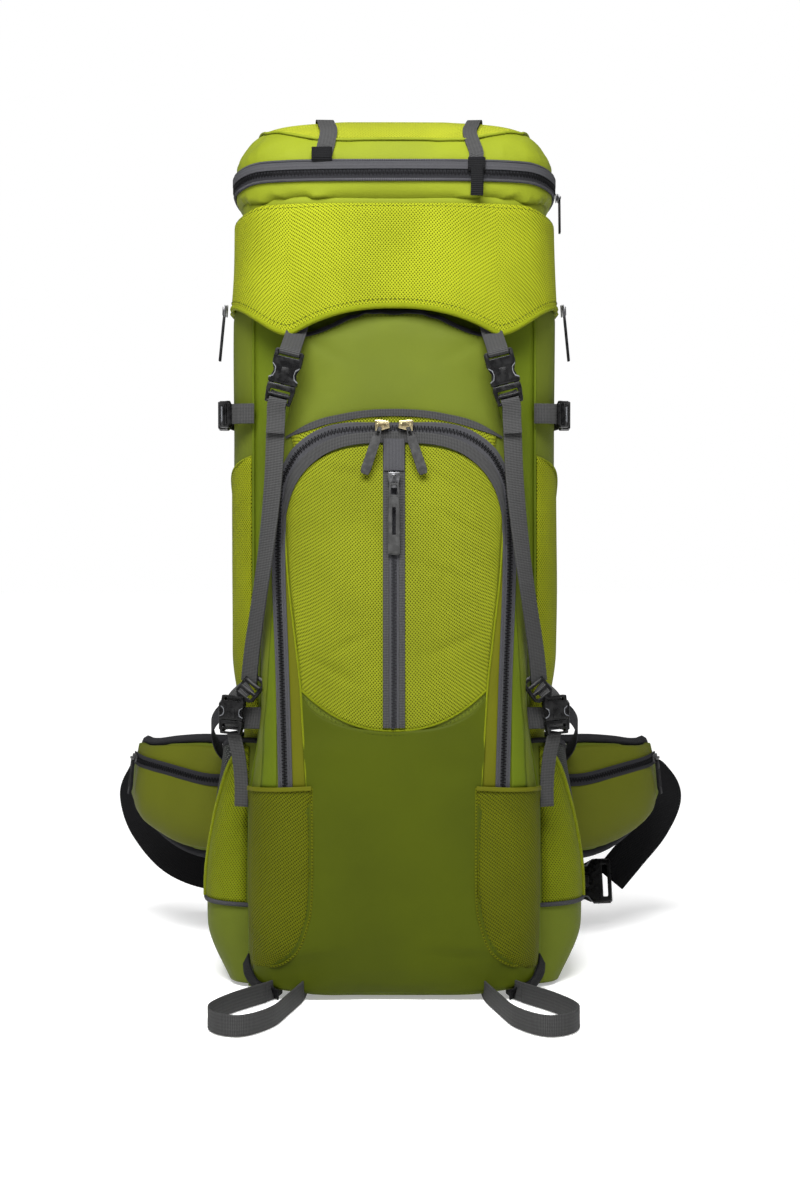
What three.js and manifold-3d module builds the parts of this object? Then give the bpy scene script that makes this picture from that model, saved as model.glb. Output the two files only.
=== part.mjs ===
// A tall expedition backpack: a hollow main bag sewn from five panels, a hinged lid with a deep front
// flap, a zipped front pocket, side pockets, compression straps, a padded harness and a hip belt.
// Millimetres, +Z up. The origin is on the floor at the middle of the base; the front faces -Y.
import * as THREE from 'three';
import { mergeVertices } from 'three/addons/utils/BufferGeometryUtils.js';
import Module from 'manifold-3d';

const wasm = await Module();
wasm.setup();

// ---------- driving dimensions ----------
const BAG = {
  halfWidth: 162, // at the middle of the bag
  lowerHalfWidth: 150, // behind the side pockets
  topHalfWidth: 152, // under the lid
  halfDepth: 98,
  top: 730,
  wall: 5,
};
const BASE_THICKNESS = 12;
const POCKET = { back: -100.5, lowerHalfWidth: 141, upperHalfWidth: 130, topHalfWidth: 98 };
const LID = { centreY: -11, halfWidth: 157, halfDepth: 115, bottom: 762, edgeTop: 812, crown: 40 };
const SKIRT = { halfWidth: 163, halfDepth: 124, wall: 5, top: 761 };
const LID_HINGE_Y = 104;
const WEBBING = { width: 20, thickness: 1.8 };
const ZIP = { width: 19, thickness: 1.6 };
const UPPER_STRAP_Z = 563;
const LOWER_STRAP_Z = 266;
const GAP = 0.6; // air left between two pieces that touch in use
const SIDES = [
  { name: 'left', sign: -1 },
  { name: 'right', sign: 1 },
];

// ---------- materials ----------
const finish = (color, roughness, metalness = 0) =>
  new THREE.MeshStandardMaterial({ color, roughness, metalness });
const greenNylon = finish(0x6f8f1f, 0.7);
const limeMesh = finish(0xa9b91c, 0.85);
const greyWebbing = finish(0x4b4b4d, 0.8);
const blackWebbing = finish(0x17171a, 0.85);
const blackPlastic = finish(0x1a1a1c, 0.35);
const zipTape = finish(0x47474a, 0.75);
const pullRubber = finish(0x55565a, 0.6);
const darkMesh = finish(0x2a2b2d, 0.9);
const aluminium = finish(0xb8bcc0, 0.35, 1);
const framePlastic = finish(0x202124, 0.5);

// ---------- shaping helpers ----------
const pack = new THREE.Group();
const mix = THREE.MathUtils.lerp;
const ease = THREE.MathUtils.smoothstep;
const vec = (x, y, z) => new THREE.Vector3(x, y, z);

function add(name, geometry, material, parent = pack) {
  const mesh = new THREE.Mesh(geometry, material);
  mesh.name = name;
  parent.add(mesh);
  return mesh;
}

// Moves every vertex of a closed geometry with place(v), which keeps it closed.
function warp(geometry, place) {
  const position = geometry.getAttribute('position');
  const v = new THREE.Vector3();
  for (let i = 0; i < position.count; i++) {
    place(v.fromBufferAttribute(position, i));
    position.setXYZ(i, v.x, v.y, v.z);
  }
  return geometry;
}

const unitBox = (nx, ny, nz) => new THREE.BoxGeometry(1, 1, 1, nx, ny, nz);

function box(width, depth, height, x = 0, y = 0, z = 0) {
  return new THREE.BoxGeometry(width, depth, height).translate(x, y, z);
}

function toSolid(geometry) {
  const bare = geometry.clone();
  bare.deleteAttribute('normal');
  bare.deleteAttribute('uv');
  const merged = mergeVertices(bare, 1e-3);
  return new wasm.Manifold(
    new wasm.Mesh({
      numProp: 3,
      vertProperties: merged.getAttribute('position').array,
      triVerts: new Uint32Array(merged.index.array),
    }),
  );
}

function toGeometry(solid) {
  const mesh = solid.getMesh();
  return new THREE.BufferGeometry()
    .setAttribute('position', new THREE.BufferAttribute(new Float32Array(mesh.vertProperties), 3))
    .setIndex(new THREE.BufferAttribute(new Uint32Array(mesh.triVerts), 1));
}

const join = (first, ...others) =>
  toGeometry(others.reduce((solid, g) => solid.add(toSolid(g)), toSolid(first)));
const cut = (first, ...others) =>
  toGeometry(others.reduce((solid, g) => solid.subtract(toSolid(g)), toSolid(first)));

// A point on a rounded rectangle of half-width a and half-depth b.
function rounded(angle, a, b, power = 4) {
  const c = Math.cos(angle);
  const s = Math.sin(angle);
  return [a * Math.sign(c) * Math.abs(c) ** (2 / power), b * Math.sign(s) * Math.abs(s) ** (2 / power)];
}

// A curved wall that follows a rounded rectangle from one angle to another.
function wall({ from, to, around, up, bottom, top, halfWidth, halfDepth, centreY = 0, thickness }) {
  return warp(unitBox(around, 1, up), (v) => {
    const angle = mix(from, to, v.x + 0.5);
    const [outerX] = rounded(angle, halfWidth(0), halfDepth);
    const z = mix(bottom(outerX), top, v.z + 0.5);
    const inset = thickness * (v.y + 0.5);
    const [x, y] = rounded(angle, halfWidth(z) - inset, halfDepth - inset);
    v.set(x, y + centreY, z);
  });
}

// A band along a curve. outward gives the direction its face looks; crown rounds a padded band.
function band({ path, outward, width, thickness, steps, across = 1, crown = 0 }) {
  const centre = new THREE.CatmullRomCurve3(path);
  const faces = new THREE.CatmullRomCurve3(outward.length === 1 ? path.map(() => outward[0]) : outward);
  const valueAt = (value, t) => (typeof value === 'function' ? value(t) : value);
  return warp(unitBox(steps, across, 1), (v) => {
    const t = v.x + 0.5;
    const tangent = centre.getTangent(t);
    const face = faces.getPoint(t);
    const normal = face.addScaledVector(tangent, -face.dot(tangent)).normalize();
    const side = normal.clone().cross(tangent);
    const falloff = 1 - crown * (2 * v.y) ** 4;
    const place = centre
      .getPoint(t)
      .addScaledVector(side, v.y * valueAt(width, t))
      .addScaledVector(normal, v.z * valueAt(thickness, t) * falloff);
    v.copy(place);
  });
}

// Turns an object so that its own +Z points along axis and its own -Y looks outward.
function aim(object, axis, outward) {
  const z = axis.clone().normalize();
  const y = outward.clone().negate();
  y.addScaledVector(z, -y.dot(z)).normalize();
  object.quaternion.setFromRotationMatrix(new THREE.Matrix4().makeBasis(y.clone().cross(z), y, z));
}

// ---------- main bag: five panels round one open compartment ----------
function bagHalfWidth(z) {
  const lower = mix(BAG.lowerHalfWidth, BAG.halfWidth, ease(z, 235, 330));
  return mix(lower, BAG.topHalfWidth, ease(z, 628, 668));
}

const PANEL_GAP_ANGLE = 0.008;
const CORNER = Math.PI / 4;
const bagPanels = [
  { name: 'main_right_panel', middle: 0 },
  { name: 'main_rear_panel', middle: 2 * CORNER },
  { name: 'main_left_panel', middle: 4 * CORNER },
  { name: 'main_front_panel', middle: 6 * CORNER },
];
for (const { name, middle } of bagPanels) {
  const geometry = wall({
    from: middle - CORNER + PANEL_GAP_ANGLE,
    to: middle + CORNER - PANEL_GAP_ANGLE,
    around: 8,
    up: 9,
    bottom: () => BASE_THICKNESS + GAP,
    top: BAG.top,
    halfWidth: bagHalfWidth,
    halfDepth: BAG.halfDepth,
    thickness: BAG.wall,
  });
  add(name, geometry, greenNylon);
}

// The base is a plate with a rounded lower edge, so that the bag stands on a flat face.
const BASE_EDGE = 10;
const basePlate = warp(new THREE.CylinderGeometry(1, 1, 1, 40, 2), (v) => {
  const rise = v.y + 0.5;
  const inset = BASE_EDGE * (1 - Math.sqrt(1 - (1 - rise) ** 2));
  const [x, y] = rounded(Math.atan2(v.z, v.x), BAG.lowerHalfWidth - inset, BAG.halfDepth - inset);
  const reach = Math.hypot(v.x, v.z);
  v.set(x * reach, rise * BASE_THICKNESS, y * reach);
});
add('base_panel', basePlate.rotateX(Math.PI / 2), greenNylon);

// The collar is the soft sleeve above the bag's rim, drawn in by a cord with a lock at the front.
const COLLAR = { bottom: BAG.top + GAP, top: 757, inset: 6, thickness: 3 };
const collarProfile = [
  [0, COLLAR.bottom],
  [1, COLLAR.bottom],
  [1, COLLAR.top],
  [0, COLLAR.top],
  [0, COLLAR.bottom],
].map(([across, z]) => new THREE.Vector2(1 + across, z));
const collar = warp(new THREE.LatheGeometry(collarProfile, 40), (v) => {
  const outward = Math.hypot(v.x, v.z) - 1;
  const inset = COLLAR.inset + COLLAR.thickness * (1 - outward);
  const [x, y] = rounded(Math.atan2(v.z, v.x), BAG.topHalfWidth - inset, BAG.halfDepth - inset);
  v.set(x, v.y, y);
});
add('collar', collar.rotateX(Math.PI / 2), greenNylon);

add('cord_lock', new THREE.CylinderGeometry(6, 6, 13, 16).translate(0, -103, 746), blackPlastic);

// ---------- front pocket ----------
function pocketHalfWidth(z) {
  const upper = mix(POCKET.lowerHalfWidth, POCKET.upperHalfWidth, ease(z, 185, 265));
  return mix(upper, POCKET.topHalfWidth, ease(z, 450, 600));
}

const ARCH = { side: 640, rise: 22, halfWidth: 92 };
const archTop = (x) => ARCH.side + ARCH.rise * (1 - ease(Math.abs(x), 20, ARCH.halfWidth));

const POCKET_BULGE = { lower: 50, upper: 15, edge: 6, toe: 24, toeHeight: 34 };
function pocketDepth(z) {
  const { lower, upper, toe, toeHeight } = POCKET_BULGE;
  const tall = mix(lower, upper, ease(z, 250, 680));
  const short = Math.max(0, 1 - z / toeHeight);
  return tall - toe * (1 - Math.sqrt(1 - short * short));
}

// The y of the pocket's outer face.
function pocketFace(x, z) {
  const across = Math.min(1, Math.abs(x) / pocketHalfWidth(z));
  const bulge = Math.max(0, pocketDepth(z) - POCKET_BULGE.edge);
  return POCKET.back - POCKET_BULGE.edge - bulge * Math.sqrt(1 - across ** 8);
}

// The foot of the pocket is lowest in the middle and rises towards its two rounded corners.
const POCKET_FOOT = { middle: 1.5, rise: 15 };
const footOf = (x) => POCKET_FOOT.middle + POCKET_FOOT.rise * Math.min(1, Math.abs(x) / POCKET.lowerHalfWidth) ** 3.2;
const pocketColumn = (s) => Math.sign(s) * (1 - (1 - Math.abs(s)) ** 1.6); // closer together at the edges
add('front_pocket', warp(unitBox(14, 1, 14), (v) => {
  const rise = v.z + 0.5;
  const nearZ = mix(POCKET_FOOT.middle, ARCH.side, rise);
  const x = pocketHalfWidth(nearZ) * pocketColumn(2 * v.x);
  const z = mix(footOf(x), archTop(x), rise);
  v.set(x, v.y > 0 ? POCKET.back : pocketFace(x, z), z);
}), greenNylon);

// ---------- zips on the front pocket ----------
const ZIP_LIFT = 3.4; // keeps the stiff tape clear of the faceted pocket face
const onPocket = (x, z, lift = ZIP_LIFT) => vec(x, pocketFace(x, z) - lift, z);
const slopeAcross = (x, z) => (pocketFace(x + 1, z) - pocketFace(x - 1, z)) / 2;
const pocketNormal = ([x, z]) => vec(slopeAcross(x, z), -1, 0).normalize();
const FORWARD = vec(0, -1, 0);

const ZIP_ARCH = { radius: 161, centreZ: 389 };
const archPoint = (degrees) => {
  const angle = THREE.MathUtils.degToRad(degrees);
  return [ZIP_ARCH.radius * Math.sin(angle), ZIP_ARCH.centreZ + ZIP_ARCH.radius * Math.cos(angle)];
};
const zipLeg = (sign) => [[103, 210], [106, 290], [108, 380], [108, 450]].map(([x, z]) => [sign * x, z]);
const zipRoute = [...zipLeg(-1), ...[-36, -24, -12, 0, 12, 24, 36].map(archPoint), ...zipLeg(1).reverse()];
add('front_zip_tape', band({
  path: zipRoute.map(([x, z]) => onPocket(x, z)),
  outward: zipRoute.map(pocketNormal),
  width: ZIP.width,
  thickness: ZIP.thickness,
  steps: 40,
}), zipTape);

const CENTRE_ZIP = { bottom: 262, top: 536 };
add('centre_zip_tape', band({
  path: [262, 330, 400, 470, 536].map((z) => onPocket(0, z)),
  outward: [FORWARD],
  width: ZIP.width + 2,
  thickness: ZIP.thickness,
  steps: 8,
}), zipTape);

// A slider is a wedge with a waist and a bail that a pull hangs from.
function zipSlider() {
  const body = new THREE.Shape();
  body.moveTo(-3, -6).lineTo(3, -6).lineTo(4.5, 2).lineTo(4.5, 6).lineTo(-4.5, 6).lineTo(-4.5, 2);
  const plate = new THREE.ExtrudeGeometry(body, { depth: 3, bevelEnabled: false });
  plate.rotateX(Math.PI / 2);
  const bail = cut(box(2.4, 3.4, 9, 0, -4.5, 0), box(4, 2, 5, 0, -4.2, 0));
  return join(plate, bail);
}

// A pull is a flat rubber tab that narrows towards the slider. Its own origin is where it swings.
function zipPull(length, width) {
  const outline = new THREE.Shape();
  const half = width / 2;
  outline.moveTo(-half * 0.5, 0).lineTo(-half, -8).lineTo(-half, -length);
  outline.lineTo(half, -length).lineTo(half, -8).lineTo(half * 0.5, 0);
  return new THREE.ExtrudeGeometry(outline, { depth: 2.4, bevelEnabled: false }).rotateX(Math.PI / 2);
}

const SLIDER_LIFT = ZIP_LIFT + ZIP.thickness / 2 + 3 * GAP;
const PULL_LIFT = SLIDER_LIFT + 7;
const CENTRE_LIFT = 2; // the face bows forward between the ends of the centre zip
for (const { name, sign } of SIDES) {
  const [x, z] = archPoint(sign * 4);
  const slider = add(`${name}_front_zip_slider`, zipSlider(), aluminium);
  slider.position.copy(onPocket(x, z, SLIDER_LIFT));
  aim(slider, vec(sign, 0, -0.08), FORWARD);
  const pull = add(`${name}_front_zip_pull`, zipPull(44, 9), pullRubber);
  pull.position.copy(onPocket(x + sign * 2, z - 6, PULL_LIFT));
  aim(pull, vec(-sign * 0.34, 0, 1), FORWARD);
}
const centreSlider = add('centre_zip_slider', zipSlider(), pullRubber);
centreSlider.position.copy(onPocket(0, 497, SLIDER_LIFT + CENTRE_LIFT));
aim(centreSlider, vec(0, 0, 1), FORWARD);
const centrePull = add('centre_zip_pull', zipPull(62, 10), pullRubber);
centrePull.position.copy(onPocket(0, 489, PULL_LIFT + CENTRE_LIFT));
aim(centrePull, vec(0, 0, 1), FORWARD);

// ---------- side pockets ----------
const SIDE_POCKET = { front: -84, rear: 84, bottom: 3, top: 236, wall: 3.5 };
function sidePocketReach(z) {
  const upper = mix(191, 171, ease(z, 90, 250));
  return upper - 34 * (1 - ease(z, -30, 60));
}
function sidePocketVolume(sign, shrink, bottom, top) {
  return warp(unitBox(3, 10, 8), (v) => {
    const along = 2 * v.y;
    const z = mix(bottom, top, v.z + 0.5);
    const y = mix(SIDE_POCKET.front + shrink, SIDE_POCKET.rear - shrink, v.y + 0.5);
    const inner = rounded(Math.asin((Math.abs(y) / BAG.halfDepth) ** 2), BAG.lowerHalfWidth, 1)[0] + 3;
    const outer = inner + 4 + (sidePocketReach(z) - inner - 4 - shrink) * (1 - along ** 4);
    v.set(mix(inner, Math.max(outer - shrink * 0.4, inner + 0.8), v.x + 0.5), y, z);
  }).scale(sign, 1, 1);
}
for (const { name, sign } of SIDES) {
  const outer = sidePocketVolume(1, 0, SIDE_POCKET.bottom, SIDE_POCKET.top);
  const inner = sidePocketVolume(1, SIDE_POCKET.wall, SIDE_POCKET.bottom + 5, SIDE_POCKET.top + 30);
  const pocket = add(`${name}_side_pocket`, cut(outer, inner.translate(-3, 0, 0)), limeMesh);
  pocket.scale.x = sign;
}

// ---------- side-release buckles ----------
// A buckle lies along its own Z: the housing above, the insert pushed up into it from below.
function buckleHousing({ width, length, depth }) {
  const outline = new THREE.Shape();
  const half = width / 2;
  outline.moveTo(-half, 0).lineTo(half, 0).lineTo(half * 0.94, length * 0.35);
  outline.lineTo(half, length * 0.62).lineTo(half * 0.9, length).lineTo(-half * 0.9, length);
  outline.lineTo(-half, length * 0.62).lineTo(-half * 0.94, length * 0.35);
  const shell = new THREE.ExtrudeGeometry(outline, { depth, bevelEnabled: false });
  shell.rotateX(Math.PI / 2).translate(0, depth / 2, 0);
  const throat = length * 0.7;
  return cut(
    shell,
    box(width * 0.82, depth * 0.56, throat * 2),
    box(width * 1.2, depth * 0.5, length * 0.26, 0, 0, length * 0.36),
    box(width * 0.7, depth * 1.2, length * 0.1, 0, 0, length * 0.86),
  );
}

function buckleInsert({ width, length, depth }) {
  const base = cut(
    box(width * 0.96, depth, length * 0.6, 0, 0, -length * 0.3 - GAP),
    box(width * 0.74, depth * 1.2, length * 0.13, 0, 0, -length * 0.24),
    box(width * 0.74, depth * 1.2, length * 0.13, 0, 0, -length * 0.46),
  );
  const prong = (x, w, l) => box(w, depth * 0.42, l + 2, x, 0, l / 2 - 1 - GAP);
  return join(
    base,
    prong(-width * 0.32, width * 0.12, length * 0.62),
    prong(width * 0.32, width * 0.12, length * 0.62),
    prong(0, width * 0.12, length * 0.5),
  );
}

const BUCKLE_20 = { width: 28, length: 27, depth: 9 };
const BUCKLE_40 = { width: 50, length: 52, depth: 14 };

// ---------- lid ----------
// Keeps a square's corners rounded when it is stretched to half-width a and half-depth b.
const soften = (u, v, a, b, round = 0.5) => [
  a * u * Math.sqrt(1 - (round * v * v) / 2),
  b * v * Math.sqrt(1 - (round * u * u) / 2),
];
const pouchSpan = LID.edgeTop - LID.bottom;
add('lid_pouch', warp(unitBox(14, 12, 4), (v) => {
  const [x, y] = soften(2 * v.x, 2 * v.y, LID.halfWidth, LID.halfDepth);
  const dome = (1 - Math.abs(2 * v.x) ** 6) * (1 - Math.abs(2 * v.y) ** 6);
  const rise = v.z + 0.5;
  const bulge = 1 - 0.03 * (1 - Math.sin(Math.PI * rise));
  v.set(x * bulge, LID.centreY + y * bulge, LID.bottom + (pouchSpan + LID.crown * dome) * rise);
}), greenNylon);

// The flap hangs from the lid round the front and both sides, with an arch cut in its lower edge.
const FLAP = { lobe: 640, arch: 667, side: 660, lobeX: 90 };
function flapBottom(x) {
  const reach = Math.abs(x);
  return reach < FLAP.lobeX
    ? mix(FLAP.arch, FLAP.lobe, ease(reach, 25, FLAP.lobeX))
    : mix(FLAP.lobe, FLAP.side, ease(reach, FLAP.lobeX, 160));
}
add('lid_skirt', wall({
  from: THREE.MathUtils.degToRad(-195),
  to: THREE.MathUtils.degToRad(15),
  around: 32,
  up: 1,
  bottom: flapBottom,
  top: SKIRT.top,
  halfWidth: () => SKIRT.halfWidth,
  halfDepth: SKIRT.halfDepth,
  centreY: LID.centreY,
  thickness: SKIRT.wall,
}), limeMesh);

const LID_ZIP_OFFSET = 6;
add('lid_zip_tape', wall({
  from: THREE.MathUtils.degToRad(-200),
  to: THREE.MathUtils.degToRad(20),
  around: 26,
  up: 1,
  bottom: () => 781,
  top: 800,
  halfWidth: () => LID.halfWidth + LID_ZIP_OFFSET,
  halfDepth: LID.halfDepth + LID_ZIP_OFFSET,
  centreY: LID.centreY,
  thickness: ZIP.thickness,
}), zipTape);

// Closed, the slider is parked on the lid's right side, near the end of the zip.
const lidSlider = add('lid_zip_slider', zipSlider(), blackPlastic);
lidSlider.position.set(LID.halfWidth + LID_ZIP_OFFSET + GAP, 28, 790.5);
aim(lidSlider, vec(0, 1, 0), vec(1, 0, 0));

// ---------- front straps and their buckles ----------
const BUCKLE_LEAN = 0.25; // how far the strap leans out for each unit that it drops
for (const { name, sign } of SIDES) {
  const up = vec(-sign * BUCKLE_LEAN, 0, 1).normalize();
  const meeting = vec(sign * 106, -139, 588);
  const along = (distance, forward = 0) => meeting.clone().addScaledVector(up, distance).add(vec(0, forward, 0));

  const housing = add(`${name}_lid_buckle_housing`, buckleHousing(BUCKLE_20), blackPlastic);
  housing.position.copy(meeting);
  aim(housing, up, FORWARD);
  const insert = add(`${name}_lid_buckle_insert`, buckleInsert(BUCKLE_20), blackPlastic);
  insert.position.copy(meeting);
  aim(insert, up, FORWARD);

  add(`${name}_lid_webbing`, band({
    path: [along(BUCKLE_20.length + GAP), along(42, 9), along(60, 20), along(74, 21)],
    outward: [FORWARD],
    width: WEBBING.width,
    thickness: WEBBING.thickness,
    steps: 6,
  }), greyWebbing);

  add(`${name}_long_strap`, band({
    path: [
      along(-BUCKLE_20.length * 0.6 - 3),
      vec(sign * 115, -143, 480),
      vec(sign * 127, -143, 400),
      vec(sign * 143, -118, 335),
      vec(sign * 150, -104, 302),
    ],
    outward: [FORWARD, FORWARD, FORWARD, vec(sign * 0.35, -1, 0), vec(sign * 0.6, -1, 0)],
    width: WEBBING.width,
    thickness: WEBBING.thickness,
    steps: 12,
  }), greyWebbing);
}

// ---------- side compression straps, two on each side ----------
const SIDE_BUCKLE = { reach: 169, meetingY: -36 };
const levels = [
  { name: 'upper', z: UPPER_STRAP_Z },
  { name: 'lower', z: LOWER_STRAP_Z },
];
for (const { name: side, sign } of SIDES) {
  for (const { name: level, z } of levels) {
    const outward = vec(sign, 0, 0);
    const forward = vec(0, -1, 0);
    const meeting = vec(sign * SIDE_BUCKLE.reach, SIDE_BUCKLE.meetingY, z);
    const housing = add(`${side}_${level}_side_buckle_housing`, buckleHousing(BUCKLE_20), blackPlastic);
    housing.position.copy(meeting);
    aim(housing, forward, outward);
    const insert = add(`${side}_${level}_side_buckle_insert`, buckleInsert(BUCKLE_20), blackPlastic);
    insert.position.copy(meeting);
    aim(insert, forward, outward);
    const start = SIDE_BUCKLE.meetingY + BUCKLE_20.length * 0.6 + 2;
    add(`${side}_${level}_side_strap`, band({
      path: [
        vec(sign * SIDE_BUCKLE.reach, start, z),
        vec(sign * 168, 10, z),
        vec(sign * 166, 45, z),
        vec(sign * 158, 78, z),
        vec(sign * 140, 92, z),
      ],
      outward: [outward, outward, outward, vec(sign, 0.8, 0), vec(sign * 0.5, 1, 0)],
      width: WEBBING.width,
      thickness: WEBBING.thickness,
      steps: 10,
    }), greyWebbing);
  }
}

// ---------- gear loops at the foot of the front ----------
for (const { name, sign } of SIDES) {
  const route = [[88, -155], [97, -200], [110, -256], [134, -290], [158, -280], [167, -246], [152, -202], [122, -153]];
  const path = route.map(([x, y]) => vec(sign * x, y, WEBBING.width / 2 + 0.8));
  const middle = vec(sign * 133, -225, path[0].z);
  add(`${name}_gear_loop`, band({
    path,
    outward: path.map((p) => p.clone().sub(middle).normalize()),
    width: WEBBING.width,
    thickness: WEBBING.thickness,
    steps: 24,
  }), greyWebbing);
}

// ---------- frame, back pads and haul handle ----------
add('frame_sheet', box(250, 1.6, 600, 0, 100, 340), framePlastic);
const stayX = 72;
const stayY = 102.8;
add('frame_stay', band({
  path: [
    vec(-stayX, stayY, 60),
    vec(-stayX, stayY, 300),
    vec(-stayX, stayY, 560),
    vec(-stayX * 0.7, stayY, 622),
    vec(0, stayY, 640),
    vec(stayX * 0.7, stayY, 622),
    vec(stayX, stayY, 560),
    vec(stayX, stayY, 300),
    vec(stayX, stayY, 60),
  ],
  outward: [vec(0, 1, 0)],
  width: 12,
  thickness: 2.6,
  steps: 30,
}), aluminium);

function pad(width, height, depth, y, z) {
  return warp(unitBox(8, 1, 10), (v) => {
    const [x, up] = soften(2 * v.x, 2 * v.z, width / 2, height / 2, 0.4);
    const crown = (1 - Math.abs(2 * v.x) ** 6) * (1 - Math.abs(2 * v.z) ** 8);
    v.set(x, v.y < 0 ? y : y + depth * (0.55 + 0.45 * crown), z + up);
  });
}
add('upper_back_pad', pad(230, 318, 18, 105.2, 412), darkMesh);
add('lumbar_pad', pad(150, 136, 26, 105.2, 160), darkMesh);

const HANDLE = { y: 108, z: 700 };
add('haul_handle', band({
  path: [[-34, 0, 0], [-32, 13, -20], [-18, 20, -36], [0, 22, -40], [18, 20, -36], [32, 13, -20], [34, 0, 0]]
    .map(([x, y, z]) => vec(x, HANDLE.y + y, HANDLE.z + z)),
  outward: [[-1, 0.6, -0.3], [-1, 0.8, -0.8], [-0.4, 0.8, -1], [0, 0.6, -1], [0.4, 0.8, -1], [1, 0.8, -0.8], [1, 0.6, -0.3]]
    .map((p) => vec(...p)),
  width: WEBBING.width,
  thickness: 2.4,
  steps: 18,
}), greyWebbing);

// ---------- shoulder harness ----------
for (const { name, sign } of SIDES) {
  const spine = [[50, 116, 598], [56, 136, 626], [68, 166, 620], [84, 190, 560], [98, 198, 470], [108, 192, 385], [111, 180, 316]];
  const faces = [[0, -0.5, 1], [0, 0.1, 1], [0.1, 0.8, 1], [0.2, 1, 0.3], [0.2, 1, 0], [0.2, 1, -0.1], [0.2, 1, -0.2]];
  add(`${name}_shoulder_pad`, band({
    path: spine.map(([x, y, z]) => vec(sign * x, y, z)),
    outward: faces.map(([x, y, z]) => vec(sign * x, y, z)),
    width: (t) => mix(66, 46, ease(t, 0.3, 1)),
    thickness: 14,
    steps: 18,
    across: 4,
    crown: 0.45,
  }), darkMesh);
  add(`${name}_shoulder_webbing`, band({
    path: [[111.5, 174, 300], [124, 152, 276], [139, 122, 256], [149, 100, 248]]
      .map(([x, y, z]) => vec(sign * x, y, z)),
    outward: [vec(sign * 0.4, 1, -0.4)],
    width: WEBBING.width,
    thickness: WEBBING.thickness,
    steps: 8,
  }), greyWebbing);
}
const sternum = band({
  path: [[-84, 212, 498], [-42, 219, 496], [0, 221, 495], [42, 219, 496], [84, 212, 498]].map((p) => vec(...p)),
  outward: [vec(0, 1, 0)],
  width: WEBBING.width,
  thickness: 2.4,
  steps: 12,
});
add('sternum_strap', join(sternum, box(34, 8, 27, 0, 221, 495)), greyWebbing);

// ---------- hip belt ----------
for (const { name, sign } of SIDES) {
  const spine = [[80, 130, 158], [140, 128, 158], [200, 142, 156], [252, 178, 166], [286, 226, 178]];
  add(`${name}_hip_wing`, band({
    path: spine.map(([x, y, z]) => vec(sign * x, y, z)),
    outward: [[0, -1, 0], [0, -1, 0], [0.35, -1, 0], [0.75, -1, 0], [0.9, -0.7, 0]].map(([x, y, z]) => vec(sign * x, y, z)),
    width: (t) => mix(112, 138, ease(t, 0.05, 0.4)) - 58 * ease(t, 0.5, 1),
    thickness: (t) => 18 + 20 * ease(t, 0.3, 0.45) * (1 - ease(t, 0.8, 1)),
    steps: 14,
    across: 6,
    crown: 0.4,
  }), greenNylon);
}

const HIP_BUCKLE = { meeting: vec(198, 250, 50), axis: vec(1, -0.12, 0.06) };
for (const [node, make] of [['hip_buckle_housing', buckleHousing], ['hip_buckle_insert', buckleInsert]]) {
  const half = add(node, make(BUCKLE_40), blackPlastic);
  half.position.copy(HIP_BUCKLE.meeting);
  aim(half, HIP_BUCKLE.axis, vec(-0.1, -1, 0.25));
}
const HIP_WEBBING = { width: 38, thickness: 2.2 };
add('left_hip_strap', band({
  path: [[-297, 244, 172], [-306, 252, 148], [-292, 262, 110], [-252, 280, 70], [-190, 292, 50], [-80, 300, 44],
    [40, 292, 44], [120, 272, 45], [162, 256, 47]].map((p) => vec(...p)),
  outward: [[-0.8, -0.8, 0], [-0.6, -1, 0], [-0.4, -1, 0], [-0.2, -1, 0], [0, -1, 0], [0, -1, 0], [0, -1, 0.1],
    [0, -1, 0.2], [0, -1, 0.25]].map((p) => vec(...p)),
  width: HIP_WEBBING.width,
  thickness: HIP_WEBBING.thickness,
  steps: 32,
}), blackWebbing);
add('right_hip_strap', band({
  path: [[298, 244, 172], [318, 248, 146], [314, 256, 108], [292, 256, 76], [264, 247, 57]].map((p) => vec(...p)),
  outward: [[0.6, -0.8, 0], [0.4, -1, 0], [0.1, -1, 0], [0, -1, 0.1], [-0.1, -1, 0.25]].map((p) => vec(...p)),
  width: HIP_WEBBING.width,
  thickness: HIP_WEBBING.thickness,
  steps: 16,
}), blackWebbing);

export default pack;
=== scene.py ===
import math
from math import cos, exp, pi, sin, sqrt

import bmesh
import bpy
from mathutils import Matrix, Vector, noise
from mathutils.bvhtree import BVHTree


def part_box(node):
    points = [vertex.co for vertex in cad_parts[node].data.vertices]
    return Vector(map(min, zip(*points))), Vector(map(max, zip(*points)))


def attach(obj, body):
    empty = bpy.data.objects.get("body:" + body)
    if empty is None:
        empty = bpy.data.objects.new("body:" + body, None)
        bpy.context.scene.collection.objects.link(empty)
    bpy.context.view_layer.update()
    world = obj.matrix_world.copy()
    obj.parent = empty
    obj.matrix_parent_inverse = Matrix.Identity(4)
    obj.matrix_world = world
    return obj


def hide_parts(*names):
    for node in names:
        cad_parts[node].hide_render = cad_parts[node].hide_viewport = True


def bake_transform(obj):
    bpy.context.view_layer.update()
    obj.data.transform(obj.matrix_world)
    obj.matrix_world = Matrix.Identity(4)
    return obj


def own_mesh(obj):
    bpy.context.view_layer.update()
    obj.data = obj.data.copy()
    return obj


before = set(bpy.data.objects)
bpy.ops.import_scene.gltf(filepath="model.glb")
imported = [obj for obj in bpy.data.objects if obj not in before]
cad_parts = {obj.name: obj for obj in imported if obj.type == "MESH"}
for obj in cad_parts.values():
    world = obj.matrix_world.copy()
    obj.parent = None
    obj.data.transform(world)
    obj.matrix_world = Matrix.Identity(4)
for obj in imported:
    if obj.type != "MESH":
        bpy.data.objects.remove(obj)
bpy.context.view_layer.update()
MM = 0.001

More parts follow.
